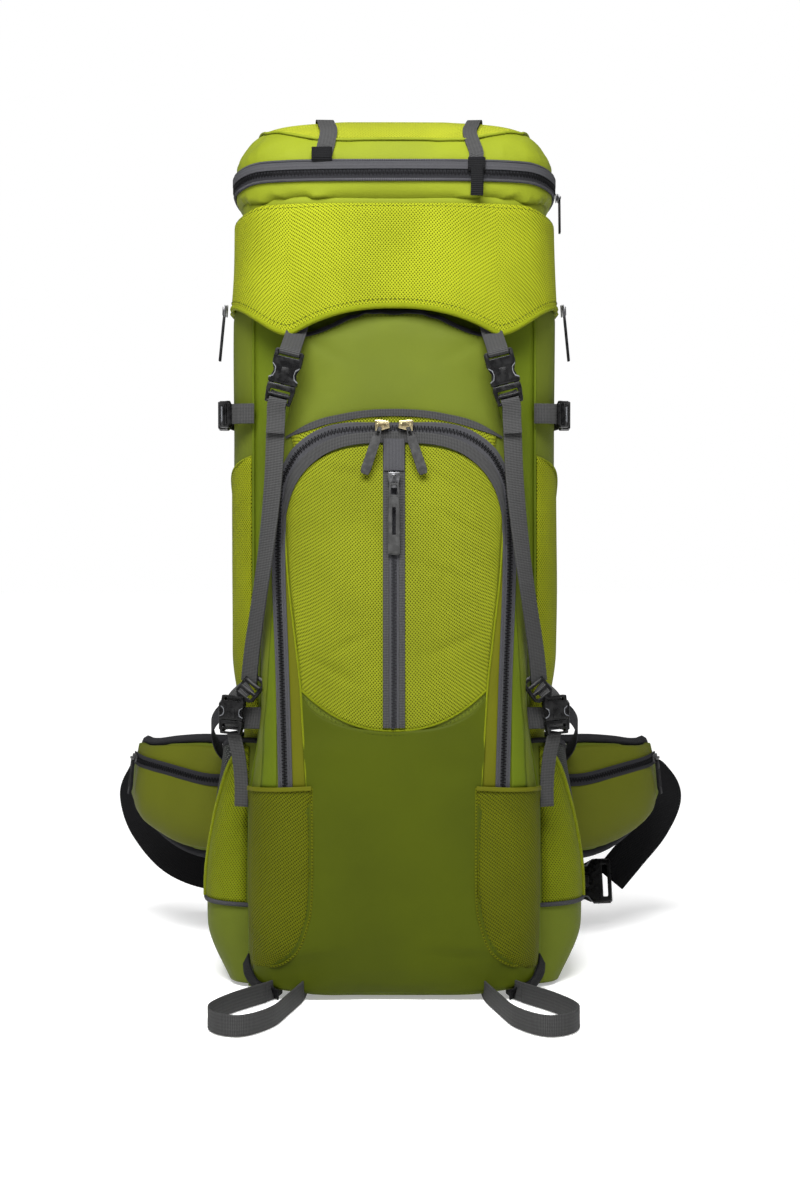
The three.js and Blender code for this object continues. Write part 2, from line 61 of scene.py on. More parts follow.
# ---------------------------------------------------------------------------------------------
# Camera. It stands level with the pack's middle, two metres in front, and looks slightly down.
# ---------------------------------------------------------------------------------------------
CAMERA_PLACE = Vector((0.0057, -2.14, 0.44))
CAMERA_TILT = math.radians(1.63)

camera_data = bpy.data.cameras.new("camera")
camera_data.sensor_width = 36
camera_data.lens = 63.15
camera_data.clip_end = 50
camera = bpy.data.objects.new("camera", camera_data)
camera.location = CAMERA_PLACE
camera.rotation_euler = (pi / 2 - CAMERA_TILT, 0, 0)
bpy.context.scene.collection.objects.link(camera)
bpy.context.scene.camera = camera

# ---------------------------------------------------------------------------------------------
# Studio. A white surround, a big soft light overhead and in front, and a weak one from each side,
# so that the colours stay rich towards the foot.
# ---------------------------------------------------------------------------------------------
scene = bpy.context.scene
scene.view_settings.view_transform = "Standard"
scene.view_settings.look = "None"
scene.world = bpy.data.worlds.new("studio")
scene.world.use_nodes = True
surround = scene.world.node_tree.nodes["Background"]
surround.inputs["Color"].default_value = (1, 1, 1, 1)
rays = scene.world.node_tree.nodes.new("ShaderNodeLightPath")
level = scene.world.node_tree.nodes.new("ShaderNodeMapRange")
level.inputs["To Min"].default_value = 0.42  # what lights the pack
level.inputs["To Max"].default_value = 1.0  # what is seen behind it
scene.world.node_tree.links.new(rays.outputs["Is Camera Ray"], level.inputs["Value"])
scene.world.node_tree.links.new(level.outputs["Result"], surround.inputs["Strength"])


def studio_light(name, place, aim, size, watts):
    data = bpy.data.lights.new(name, "AREA")
    data.shape = "RECTANGLE"
    data.size, data.size_y = size
    data.energy = watts
    light = bpy.data.objects.new(name, data)
    light.location = place
    light.rotation_euler = (Vector(aim) - Vector(place)).to_track_quat("-Z", "Y").to_euler()
    scene.collection.objects.link(light)


studio_light("key_light", (-0.15, -1.25, 1.70), (0, 0, 0.50), (1.2, 0.8), 85)
studio_light("left_light", (-2.0, -1.4, 1.5), (0, 0, 0.45), (1.2, 1.8), 6)
studio_light("right_light", (2.0, -1.2, 1.5), (0, 0, 0.45), (1.2, 1.8), 6)


# ---------------------------------------------------------------------------------------------
# Cloths. Plain coated nylon in greens, a dimpled lime mesh, a fine dark air mesh, and ribbed
# polyester webbing. Each keeps its true thread size, and fades a little from place to place.
# An expression on Values adds its Math nodes, and a Finish is one material being made.
# ---------------------------------------------------------------------------------------------
class Value:
    """A number that varies over a surface."""

    def __init__(self, tree, socket):
        self.tree = tree
        self.socket = socket

    def node(self, kind, settings=None, outlet=0, **inputs):
        made = self.tree.nodes.new(kind)
        for key, setting in (settings or {}).items():
            setattr(made, key, setting)
        for key, wanted in inputs.items():
            place = made.inputs[int(key[1:]) if key[1:].isdigit() else key.replace("_", " ")]
            if isinstance(wanted, Value):
                self.tree.links.new(wanted.socket, place)
            else:
                place.default_value = wanted
        return Value(self.tree, made.outputs[outlet])

    def math(self, operation, *others):
        inputs = {f"i{i}": other for i, other in enumerate((self, *others))}
        return self.node("ShaderNodeMath", {"operation": operation}, **inputs)

    def __add__(self, other):
        return self.math("ADD", other)

    def __mul__(self, other):
        return self.math("MULTIPLY", other)

    def __sub__(self, other):
        return self.math("SUBTRACT", other)

    def __rsub__(self, other):
        return (self * -1) + other

    def __pow__(self, other):
        return self.math("POWER", other)

    __radd__ = __add__
    __rmul__ = __mul__

    def sin(self):
        return self.math("SINE")

    def between(self, low, high):
        """0 below low, 1 above high, and smooth in between."""
        settings = {"interpolation_type": "SMOOTHSTEP"}
        return self.node("ShaderNodeMapRange", settings, i0=self, i1=low, i2=high)

    def mix(self, low, high):
        """The colour low where this is 0 and high where it is 1."""
        return self.node("ShaderNodeMix", {"data_type": "RGBA"}, outlet=2, i0=self, i6=low, i7=high)


class Finish:
    """A material being made: its shader, and the coordinates that its pattern follows."""

    def __init__(self, name, colour, roughness, metallic=0.0):
        self.material = bpy.data.materials.new(name)
        self.material.use_nodes = True
        self.tree = self.material.node_tree
        self.shader = self.tree.nodes["Principled BSDF"]
        self.set("Base Color", (*colour, 1))
        self.set("Roughness", roughness)
        self.set("Metallic", metallic)
        self.set("Specular IOR Level", 0.5 if metallic else 0.14 if roughness < 0.5 else 0.06)
        self.material.diffuse_color = (*colour, 1)
        start = Value(self.tree, None)
        self.place = start.node("ShaderNodeTexCoord", outlet=3)
        self.uv = start.node("ShaderNodeTexCoord", outlet=2)

    def set(self, name, wanted):
        socket = self.shader.inputs[name]
        if isinstance(wanted, Value):
            self.tree.links.new(wanted.socket, socket)
        else:
            socket.default_value = wanted

    def axes(self, vector=None):
        vector = vector or self.place
        return [vector.node("ShaderNodeSeparateXYZ", outlet=i, i0=vector) for i in range(3)]

    def noise(self, scale, detail=2.0):
        return self.place.node("ShaderNodeTexNoise", Vector=self.place, Scale=scale, Detail=detail)

    def bump(self, height, distance, strength=1.0):
        bumped = height.node("ShaderNodeBump", Height=height, Distance=distance, Strength=strength)
        self.set("Normal", bumped)


STUDIO_LEVEL = 2.5  # how bright a white surface is under the lights


def linear(red, green, blue):
    """A colour as seen on a screen, 0 to 255, in the linear values that a shader takes."""
    def one(value):
        value /= 255
        return (value / 12.92 if value <= 0.04045 else ((value + 0.055) / 1.055) ** 2.4) / STUDIO_LEVEL
    return one(red), one(green), one(blue)


def pack_cloth(name, colour, shade=0.82, coarse=False):
    cloth = Finish(name, colour, 0.62)
    x, y, z = cloth.axes()
    thread = 2 * pi / (1.1 * MM if coarse else 0.7 * MM)
    weave = ((x + y) * thread).sin() * (z * thread).sin()
    fade = cloth.noise(9, 3).between(0.35, 0.68)
    mottle = cloth.noise(1400, 1).between(0.3, 0.7)
    tone = fade * 0.7 + mottle * 0.3
    cloth.set("Base Color", tone.mix((*(c * shade for c in colour), 1), (*colour, 1)))
    cloth.set("Roughness", fade * 0.12 + 0.55)
    crumple = cloth.noise(26, 3)
    cloth.bump(weave * 0.06 + crumple, 1.6 * MM, 0.35)
    return cloth.material


def dimpled_mesh(name, ridge, hole_shade, pitch=3.1 * MM):
    """A knitted mesh with staggered dimples, in the piece's own UV map, its hollows darkened with painted shade.
    """
    cloth = Finish(name, ridge, 0.72)
    u, v, _ = cloth.axes(cloth.uv)
    wander = cloth.noise(160, 1) * 0.9
    turn = 2 * pi / pitch
    across = (u * turn + wander).sin()
    along = (v * (turn * 0.86) - wander).sin()
    height = (across * along) * 0.5 + 0.5
    # Painted shade: the deep parts of the dimples take the darker colour.
    hole_shade_mask = 1 - height.between(0.18, 0.46)
    fade = cloth.noise(14, 2).between(0.3, 0.7)
    lit = fade.mix((*(c * 0.86 for c in ridge), 1), (*ridge, 1))
    cloth.set("Base Color", hole_shade_mask.mix(lit, (*hole_shade, 1)))
    cloth.bump(height, 0.9 * MM, 0.75)
    return cloth.material


def fine_mesh(name, colour, light, pitch=2.0 * MM):
    """A dense knit whose raised stitches are painted lighter as a painted glint, for pads and the stretch side of
    a pocket.
    """
    cloth = Finish(name, colour, 0.8)
    x, y, z = cloth.axes()
    turn = 2 * pi / pitch
    knit = ((x + y) * turn + (z * turn * 0.5).sin()).sin() * (z * turn * 0.7).sin()
    stitch = (knit * 0.5 + 0.5) * (cloth.noise(900, 1) * 0.8 + 0.4)
    # Painted highlight: the raised stitches take the lighter colour.
    painted_glint = stitch.between(0.45, 0.85)
    cloth.set("Base Color", painted_glint.mix((*colour, 1), (*light, 1)))
    cloth.bump(stitch, 0.8 * MM, 0.7)
    return cloth.material


def webbing_cloth(name, colour, rib=1.55 * MM):
    """Flat webbing with ribs across it. U runs along the strap and V across it, in metres."""
    cloth = Finish(name, colour, 0.68)
    u, v, _ = cloth.axes(cloth.uv)
    ribs = (u * (2 * pi / rib)).sin()
    edge = (v * (2 * pi / (3.1 * MM))).sin()
    height = ribs * 0.5 + edge * 0.14 + 0.5
    # Painted light and shade with a random mottle: the rib tops are painted lighter and the grooves between them
    # darker.
    tone = (height * 0.75 + cloth.noise(700, 2) * 0.4).between(0.1, 1.05)
    cloth.set("Base Color", tone.mix((*(c * 0.55 for c in colour), 1), (*(c * 1.25 for c in colour), 1)))
    cloth.bump(height, 0.5 * MM, 0.6)
    return cloth.material


# The greens and lime meshes are set piece by piece. Besides each fabric's own colour they hold painted light:
# lighter high up on the lid and flap, and darker lower down and round the sides, as painted shade. The six lime
# meshes are one fabric.
upper_green = pack_cloth("upper_green_nylon", linear(118, 131, 39))
corner_green = pack_cloth("corner_green_nylon", linear(112, 130, 24))
lower_green = pack_cloth("lower_green_nylon", linear(86, 97, 7), coarse=True)
lid_green = pack_cloth("lid_green_nylon", linear(156, 169, 40))
wing_green = pack_cloth("wing_green_nylon", linear(116, 122, 29))
lime_mesh = dimpled_mesh("lime_mesh", linear(188, 198, 36), linear(88, 94, 6))
shaded_lime_mesh = dimpled_mesh("shaded_lime_mesh", linear(166, 175, 26), linear(80, 86, 5))
lid_mesh_cloth = dimpled_mesh("lid_mesh_cloth", linear(198, 207, 54), linear(96, 101, 10))
pocket_mesh = dimpled_mesh("pocket_mesh", linear(159, 168, 33), linear(71, 75, 7))
patch_mesh = dimpled_mesh("patch_mesh", linear(110, 116, 3), linear(51, 54, 4))
side_pocket_mesh = dimpled_mesh("side_pocket_mesh", linear(146, 158, 16), linear(65, 70, 4))
olive_ripstop = pack_cloth("olive_ripstop", linear(116, 118, 18), coarse=True)
lime_binding = webbing_cloth("lime_binding", linear(160, 172, 26), rib=0.9 * MM)
grey_webbing = webbing_cloth("grey_webbing", linear(82, 82, 82))
black_webbing = webbing_cloth("black_webbing", linear(25, 25, 27), rib=1.9 * MM)
grey_tape = webbing_cloth("grey_tape", linear(94, 94, 98), rib=0.8 * MM)
dark_tape = webbing_cloth("dark_tape", linear(61, 61, 65), rib=0.8 * MM)
air_mesh = fine_mesh("air_mesh", linear(34, 35, 38), linear(74, 76, 80))
stretch_mesh = fine_mesh("stretch_mesh", linear(52, 54, 52), linear(128, 130, 126), pitch=2.6 * MM)


# ---------------------------------------------------------------------------------------------
# Main bag. One tall tube of nylon sewn from four panels: plain green in front, behind and round
# the sides, with a lime mesh panel let into each side and a piped seam at each corner.
# ---------------------------------------------------------------------------------------------
def finish_mesh(name, shape, *materials):
    mesh = bpy.data.meshes.new(name)
    shape.to_mesh(mesh)
    shape.free()
    for material in materials:
        mesh.materials.append(material)
    mesh.polygons.foreach_set("use_smooth", [True] * len(mesh.polygons))
    piece = bpy.data.objects.new(name, mesh)
    scene.collection.objects.link(piece)
    return piece


def evenly(walked, share):
    """Where on a curve a share of its length has been walked."""
    wanted = share * walked[-1]
    for i in range(len(walked) - 1):
        if wanted <= walked[i + 1]:
            return (i + (wanted - walked[i]) / (walked[i + 1] - walked[i])) / (len(walked) - 1)
    return 1.0


def walk_of(place, steps=400):
    """The distance walked along a curve at each of its steps."""
    walked = [0.0]
    for i in range(steps):
        walked.append(walked[-1] + (place((i + 1) / steps) - place(i / steps)).length)
    return walked


def folds(x, y, z, size=60.0, seed=0.0):
    """Long soft creases in cloth, from 0 to 1."""
    return 0.5 + 0.5 * noise.noise(Vector((x / size, y / size, z / (size * 2) + seed)))


def mix(low, high, t):
    return low + (high - low) * t


def ease(value, low, high):
    t = min(1.0, max(0.0, (value - low) / (high - low)))
    return t * t * (3 - 2 * t)


def mm(x, y, z):
    return Vector((x, y, z)) * MM


def smooth_route(points, steps):
    """Points along a smooth curve through the given ones."""
    points = [Vector(p) for p in points]
    ends = [points[0] * 2 - points[1], *points, points[-1] * 2 - points[-2]]
    route = []
    for step in range(steps + 1):
        along = step / steps * (len(points) - 1)
        i = min(int(along), len(points) - 2)
        t = along - i
        a, b, c, d = ends[i:i + 4]
        bend = 2 * b + (c - a) * t + (2 * a - 5 * b + 4 * c - d) * t * t + (3 * b - a - 3 * c + d) * t ** 3
        route.append(bend / 2)
    return route


def lay_cloth(name, columns, rows, place, material, thickness=1.2 * MM):
    """A piece of cloth whose point (u, v), each from 0 to 1, lies at place(u, v)."""
    spots = [[place(i / columns, j / rows) for j in range(rows + 1)] for i in range(columns + 1)]
    across = [[0.0] * (rows + 1) for _ in spots]
    upward = [[0.0] * (rows + 1) for _ in spots]
    for i in range(columns + 1):
        for j in range(rows + 1):
            if i:
                across[i][j] = across[i - 1][j] + (spots[i][j] - spots[i - 1][j]).length
            if j:
                upward[i][j] = upward[i][j - 1] + (spots[i][j] - spots[i][j - 1]).length
    middle = [across[columns // 2][j] for j in range(rows + 1)]
    shape = bmesh.new()
    bmesh.ops.create_grid(shape, x_segments=columns, y_segments=rows, size=0.5, calc_uvs=True)
    uv = shape.loops.layers.uv.verify()
    for face in shape.faces:
        for loop in face.loops:
            i, j = round((loop.vert.co.x + 0.5) * columns), round((loop.vert.co.y + 0.5) * rows)
            loop[uv].uv = across[i][j] - middle[j], upward[i][j]
    for vert in shape.verts:
        vert.co = spots[round((vert.co.x + 0.5) * columns)][round((vert.co.y + 0.5) * rows)]
    piece = finish_mesh(name, shape, material)
    if thickness:
        wall = piece.modifiers.new("thickness", "SOLIDIFY")
        wall.thickness = thickness
        wall.offset = -1
    return piece


def soft_tube(name, points, radius, material, steps=60, closed=False):
    """Piping, cord or a bent rod along a route."""
    curve = bpy.data.curves.new(name, "CURVE")
    curve.dimensions = "3D"
    curve.bevel_depth = radius
    curve.bevel_resolution = 2
    curve.use_fill_caps = not closed
    route = smooth_route(points, steps)
    spline = curve.splines.new("POLY")
    spline.use_cyclic_u = closed
    if closed:
        route = route[:-1]
    spline.points.add(len(route) - 1)
    for point, place in zip(spline.points, route):
        point.co = (*place, 1)
    holder = bpy.data.objects.new(name, curve)
    mesh = bpy.data.meshes.new_from_object(holder)
    bpy.data.objects.remove(holder)
    mesh.materials.clear()
    mesh.materials.append(material)
    mesh.name = name
    mesh.polygons.foreach_set("use_smooth", [True] * len(mesh.polygons))
    piece = bpy.data.objects.new(name, mesh)
    scene.collection.objects.link(piece)
    return piece


BAG_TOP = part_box("main_front_panel")[1].z / MM
BAG_HALF_DEPTH = 98
SEAM_ANGLE = 0.774  # from the side's middle to the seam where the front panel starts


def bag_half_width(z):
    return mix(mix(150, 162, ease(z, 235, 330)), 152, ease(z, 658, 694))


def bag_point(angle, z, lift=0.0):
    """A point on the bag's wall. Angle 0 is +X and a quarter turn is +Y."""
    toe = 10 * (1 - sqrt(1 - max(0.0, 1 - z / 12) ** 2)) if z < 12 else 0
    c, s = cos(angle), sin(angle)
    x = (bag_half_width(z) + lift - toe) * math.copysign(sqrt(abs(c)), c)
    y = (BAG_HALF_DEPTH + lift - toe) * math.copysign(sqrt(abs(s)), s)
    return mm(x, y, z)


def bag_angles(middle, half_span):
    """The angle at each share of the way round a panel, measured along its cloth."""
    walked = walk_of(lambda u: bag_point(middle + (2 * u - 1) * half_span, 400), 120)
    return lambda share: middle + (2 * evenly(walked, share) - 1) * half_span


def bag_panel(
    name, middle, half_span, material, low=1.0, high=BAG_TOP, columns=40, rows=110, lift=0.0, sag=3.0,
):
    angle_at = bag_angles(middle, half_span)

    def place(u, v):
        angle = angle_at(u)
        top = high(u) if callable(high) else high
        z = mix(low, top, v)
        pull = min(u, 1 - u) * 10
        slack = sag * folds(*(bag_point(angle, z) / MM), 55, middle) * min(1, pull)
        return bag_point(angle, z, lift - slack)

    return lay_cloth(name, columns, rows, place, material)


FRONT_SPAN = pi / 2 - SEAM_ANGLE
front_cloth = bag_panel("front_panel_cloth", -pi / 2, FRONT_SPAN, corner_green, sag=0.8)
rear_cloth = bag_panel("rear_panel_cloth", pi / 2, FRONT_SPAN, corner_green, sag=0.6)
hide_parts("main_front_panel")
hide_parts("main_rear_panel")
bag_cloths = [front_cloth, rear_cloth]
for side, middle in (("right", 0.0), ("left", pi)):
    cloth = bag_panel(f"{side}_panel_cloth", middle, SEAM_ANGLE, upper_green)
    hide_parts(f"main_{side}_panel")
    bag_cloths.append(cloth)

    def mesh_top(u, side=side):
        back = u if side == "right" else 1 - u
        return 525 - 86 * ease(back, -0.15, 1.1)

    inset = bag_panel(
        f"{side}_mesh_panel", middle, SEAM_ANGLE - 0.02, shaded_lime_mesh,
        low=210, high=mesh_top, columns=36, rows=50, lift=1.6, sag=2.0,
    )
    angle_at = bag_angles(middle, SEAM_ANGLE - 0.02)
    edge = [bag_point(angle_at(i / 20), mesh_top(i / 20), 0.6) for i in range(21)]
    piping = soft_tube(f"{side}_mesh_piping", edge, 1.3 * MM, lime_binding, steps=60)
    bag_cloths += [inset, piping]
    for end in (-1, 1):
        angle = middle + end * SEAM_ANGLE
        route = [bag_point(angle, mix(14, BAG_TOP - 2, i / 12), 0.4) for i in range(13)]
        seam = soft_tube(
            f"{side}_{'front' if end * cos(middle) < 0 else 'rear'}_seam", route, 1.5 * MM, corner_green,
        )
        bag_cloths.append(seam)
for piece in bag_cloths:
    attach(piece, "root")


# ---------------------------------------------------------------------------------------------
# Base, collar and drawcord. The base is a coated plate of cloth, the collar a thin sleeve that
# stands above the rim inside the lid and is drawn in by a cord with a spring lock.
# ---------------------------------------------------------------------------------------------
def collar_wall(u, v):
    angle = -2 * pi * u
    pleat = 1.6 * sin(angle * 34) * v + 1.2 * v
    c, s = cos(angle), sin(angle)
    x = (146 - pleat) * math.copysign(sqrt(abs(c)), c)
    y = (92 - pleat) * math.copysign(sqrt(abs(s)), s)
    return mm(x, y, mix(726, 757, v))


collar_cloth = lay_cloth("collar_cloth", 272, 8, collar_wall, lid_green, thickness=1.0 * MM)
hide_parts("collar")
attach(collar_cloth, "root")
cord_route = [
    mm(147.5 * math.copysign(sqrt(abs(cos(a))), cos(a)), 93.5 * math.copysign(sqrt(abs(sin(a))), sin(a)), 746)
    for a in [2 * pi * i / 64 for i in range(65)]
]
drawcord = soft_tube("collar_drawcord", cord_route, 1.4 * MM, black_webbing, steps=128, closed=True)
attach(drawcord, "root")


# ---------------------------------------------------------------------------------------------
# Front pocket. A deep green pouch sewn to the front of the bag, held down along its seams and
# swollen between them. Everything else on the front is laid on this shell.
# ---------------------------------------------------------------------------------------------
def surface(piece):
    """What rays are cast on, with the piece's modifiers applied."""
    seen = piece.evaluated_get(bpy.context.evaluated_depsgraph_get())
    shape = bmesh.new()
    shape.from_mesh(seen.data)
    tree = BVHTree.FromBMesh(shape)
    shape.free()
    return tree


def near(piece, route, reach):
    """The vertices that lie within reach of a route."""
    places = [Vector(p) for p in route]
    found = set()
    for vert in piece.data.vertices:
        if any((vert.co - p).length_squared < reach * reach for p in places):
            found.add(vert.index)
    return found


def stuffed(node, name, material, voxel=5 * MM, shrink=0.0, rounds=2):
    """A closed soft form over a solid of the frame: its mesh, evened out and smoothed, ready to swell."""
    shape = bmesh.new()
    shape.from_mesh(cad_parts[node].data)
    bmesh.ops.remove_doubles(shape, verts=shape.verts, dist=0.02 * MM)
    piece = finish_mesh(name, shape, material)
    even = piece.modifiers.new("even", "REMESH")
    even.mode = "VOXEL"
    even.voxel_size = voxel
    evened = bpy.data.meshes.new_from_object(piece.evaluated_get(bpy.context.evaluated_depsgraph_get()))
    piece.modifiers.clear()
    piece.data = evened
    shape = bmesh.new()
    shape.from_mesh(evened)
    for _ in range(rounds):
        bmesh.ops.smooth_vert(
            shape, verts=shape.verts, factor=0.5, use_axis_x=True, use_axis_y=True, use_axis_z=True,
        )
    shape.normal_update()
    if shrink:
        for vert in shape.verts:
            vert.co -= vert.normal * shrink
    shape.to_mesh(evened)
    shape.free()
    evened.materials.clear()
    evened.materials.append(material)
    evened.polygons.foreach_set("use_smooth", [True] * len(evened.polygons))
    return piece


def swell(piece, pressure, furthest, sewn=(), level=1):
    """Cloth simulation: the piece swells, held at the sewn vertices, and no point passes furthest."""
    start = [v.co.copy() for v in piece.data.vertices]
    if sewn:
        group = piece.vertex_groups.new(name="sewn")
        group.add(list(sewn), 1.0, "REPLACE")
    cloth = piece.modifiers.new("cloth", "CLOTH")
    settings = cloth.settings
    settings.quality = 4
    settings.use_pressure = True
    settings.uniform_pressure_force = pressure
    settings.effector_weights.gravity = 0
    cloth.collision_settings.use_collision = False
    if sewn:
        settings.vertex_group_mass = "sewn"
    for number in range(1, 21):
        scene.frame_set(number)
    swollen = piece.evaluated_get(bpy.context.evaluated_depsgraph_get())
    moved = [v.co.copy() for v in swollen.data.vertices]
    piece.modifiers.remove(cloth)
    scene.frame_set(1)
    for vert, old, new in zip(piece.data.vertices, start, moved):
        step = new - old
        if step.length > furthest:
            step *= furthest / step.length
        vert.co = old + step
    if level:
        soft = piece.modifiers.new("soft", "SUBSURF")
        soft.levels = soft.render_levels = level


def strap(name, points, faces, width, material, thickness=1.7 * MM, steps=48, across=4):
    """Webbing along a route. faces says which way its face looks at each point."""
    route = smooth_route(points, steps)
    looks = smooth_route(faces, steps) if len(faces) > 1 else [Vector(faces[0])] * (steps + 1)

    def place(u, v):
        i = round(u * steps)
        ahead = (route[min(i + 1, steps)] - route[max(i - 1, 0)]).normalized()
        look = (looks[i] - ahead * looks[i].dot(ahead)).normalized()
        wide = width(u) if callable(width) else width
        return route[i] + look.cross(ahead) * wide * (v - 0.5)

    piece = lay_cloth(name, steps, across, place, material, thickness)
    piece.modifiers["thickness"].offset = 0
    edge = piece.modifiers.new("worn_edge", "BEVEL")
    edge.width = thickness * 0.3
    edge.segments = 2
    edge.limit_method = "ANGLE"
    return piece


POCKET_BACK = -100.5
TOE = 14  # how far the foot of the full pocket draws in
EMPTY_TOE = 24  # and that of the empty one
ZIP_COIL = [
    (103, 204), (106, 307), (110, 413), (109, 480), (106, 497), (99, 512), (90, 525), (72, 538),
    (48, 545),
]


def pocket_half_width(z):
    return mix(mix(141, 130, ease(z, 185, 265)), 98, ease(z, 450, 600))


def pocket_face(x, z):
    across = min(1.0, abs(x) / pocket_half_width(z))
    short = max(0.0, 1 - z / 34)
    depth = mix(50, 15, ease(z, 250, 680)) - TOE * (1 - sqrt(1 - short * short))
    return POCKET_BACK - 6 - max(0.0, depth - 6) * sqrt(1 - across ** 8)


def panel_half(z):
    """Half the width of the lime panel in the middle of the pocket."""
    return through([(205, 83), (306, 89), (402, 101), (467, 105.5)], z)


def panel_bottom(s):
    return 259.5 + 39 * abs(s) ** 2.36


def through(knots, at):
    """The straight-line value between (place, value) knots at one place."""
    if at <= knots[0][0]:
        return knots[0][1]
    for (a, low), (b, high) in zip(knots, knots[1:]):
        if at <= b:
            return mix(low, high, (at - a) / (b - a))
    return knots[-1][1]


def foot_rise(x):
    """How far the pocket's rounded lower corners stand above its middle."""
    return 15 * (min(1.0, abs(x) / 141)) ** 3.2


def pocket_spot(x, z):
    return mm(x, pocket_face(x, z), z)


coil_flat = [*[(-x, z) for x, z in ZIP_COIL], (0, 547), *reversed(ZIP_COIL)]
panel_side = [(panel_half(z), z) for z in range(205, 471, 12)]
panel_foot = [(s / 10 * panel_half(panel_bottom(s / 10)), panel_bottom(s / 10)) for s in range(-10, 11)]
patch_inner = [(78, 205), (78, 104), (83, 71), (94, 46), (117, 33), (137, 40)]

pocket = stuffed("front_pocket", "pocket_shell", upper_green, voxel=5 * MM, shrink=1.0 * MM)
for vert in pocket.data.vertices:
    short = max(0.0, 1 - vert.co.z / MM / 34)
    forward = min(1.0, max(0.0, (-106 - vert.co.y / MM) / 18))
    vert.co.y -= (EMPTY_TOE - TOE) * (1 - sqrt(1 - min(1.0, short) ** 2)) * forward * MM
seams = smooth_route([pocket_spot(x, z) for x, z in coil_flat], 220)
seams += smooth_route([pocket_spot(x, z) for x, z in panel_foot], 60)
for sign in (-1, 1):
    seams += smooth_route([pocket_spot(sign * x, z) for x, z in panel_side], 80)
    seams += smooth_route([pocket_spot(sign * x, z) for x, z in patch_inner], 60)
back_face = {v.index for v in pocket.data.vertices if v.co.y > (POCKET_BACK - 4) * MM}
swell(pocket, 3.0, 5 * MM, near(pocket, seams, 4 * MM) | back_face)
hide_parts("front_pocket")
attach(pocket, "root")
pocket_tree = surface(pocket)

sewn_round = [mm(-pocket_half_width(z) + 2.5, -98.8, z) for z in range(6, 640, 26)]
sewn_round += [mm(x, -98.8, 640) for x in range(-90, 91, 30)]
sewn_round += [mm(pocket_half_width(z) - 2.5, -98.8, z) for z in range(640, 5, -26)]
pocket_seam = soft_tube("pocket_seam", sewn_round, 3.8 * MM, corner_green, steps=200)
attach(pocket_seam, "root")


def on_pocket(x, z, lift=0.0):
    place, normal, _, _ = pocket_tree.find_nearest(pocket_spot(x, z))
    return place + normal * (lift * MM)


def pocket_look(x, z):
    return pocket_tree.find_nearest(pocket_spot(x, z))[1]


def cover(name, columns, rows, at, lift, material, thickness=1.0 * MM):
    """A panel on the front pocket. at(u, v) is its x and z, and lift how far it stands proud."""
    def place(u, v):
        x, z = at(u, v)
        return on_pocket(x, z, lift(u, v) if callable(lift) else lift)

    piece = lay_cloth(name, columns, rows, place, material, thickness)
    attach(piece, "root")
    "lime_mesh" if "mesh" in material.name else "green_nylon"
    return piece


def taped(name, route, width, material, lift, thickness=1.2 * MM, steps=90):
    """Flat tape sewn along a route of x and z on the front pocket."""
    points = [on_pocket(x, z, lift) for x, z in route]
    faces = [pocket_look(x, z) for x, z in route]
    piece = strap(name, points, faces, width if callable(width) else width * MM, material, thickness, steps)
    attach(piece, "root")
    return piece


def panel_at(u, v):
    s = 2 * u - 1
    top = 467 + 64 * (1 - abs(s) ** 2.4) ** (1 / 2.4)
    z = mix(panel_bottom(s), top, v)
    return s * panel_half(z), z


CREASES = [((18, 512), (66, 486)), ((34, 470), (98, 436)), ((-20, 352), (-66, 330)), ((22, 418), (78, 398)),
           ((-30, 300), (-84, 330)), ((30, 330), (84, 352)), ((-24, 500), (-70, 508))]


def crease_at(x, z):
    """How deep the nearest pulled crease is at a place on the panel, from 0 to 1."""
    deepest = 0.0
    for (ax, az), (bx, bz) in CREASES:
        long = (bx - ax) ** 2 + (bz - az) ** 2
        t = ((x - ax) * (bx - ax) + (z - az) * (bz - az)) / long
        if -0.1 < t < 1.1:
            gap = abs((x - ax) * (bz - az) - (z - az) * (bx - ax)) / sqrt(long)
            deepest = max(deepest, exp(-(gap / 5) ** 2) * sin(pi * min(1, max(0, t * 0.9 + 0.05))))
    return deepest


def panel_lift(u, v):
    s = abs(2 * u - 1)
    across = sin(pi * min(1, s)) ** 0.6
    along = min(1.0, sin(pi * v) * 1.6)
    x, z = panel_at(u, v)
    return 0.6 + 4.2 * across * along - 1.6 * along * folds(x, 0, z, 30, 5.0) - 1.7 * crease_at(x, z)


cover("inner_lime_panel", 72, 96, panel_at, panel_lift, pocket_mesh)


def lower_at(u, v):
    s = 2 * u - 1
    bent = math.copysign(1 - (1 - abs(s)) ** 1.5, s)
    x = bent * 136
    z = mix(3 + foot_rise(x), panel_bottom(s), v)
    return bent * through([(0, 136), (175, 136), (203, 84), (298, 89)], z), z


def lower_lift(u, v):
    x, z = lower_at(u, v)
    ripple = folds(x * 0.5, 7, z * 4.2, 40) * exp(-((abs(x) - 60) / 40) ** 2)
    return 0.5 + 1.6 * folds(x, 7, z, 46) + 1.3 * ripple


cover("lower_green_panel", 60, 80, lower_at, lower_lift, lower_green, 0.8 * MM)

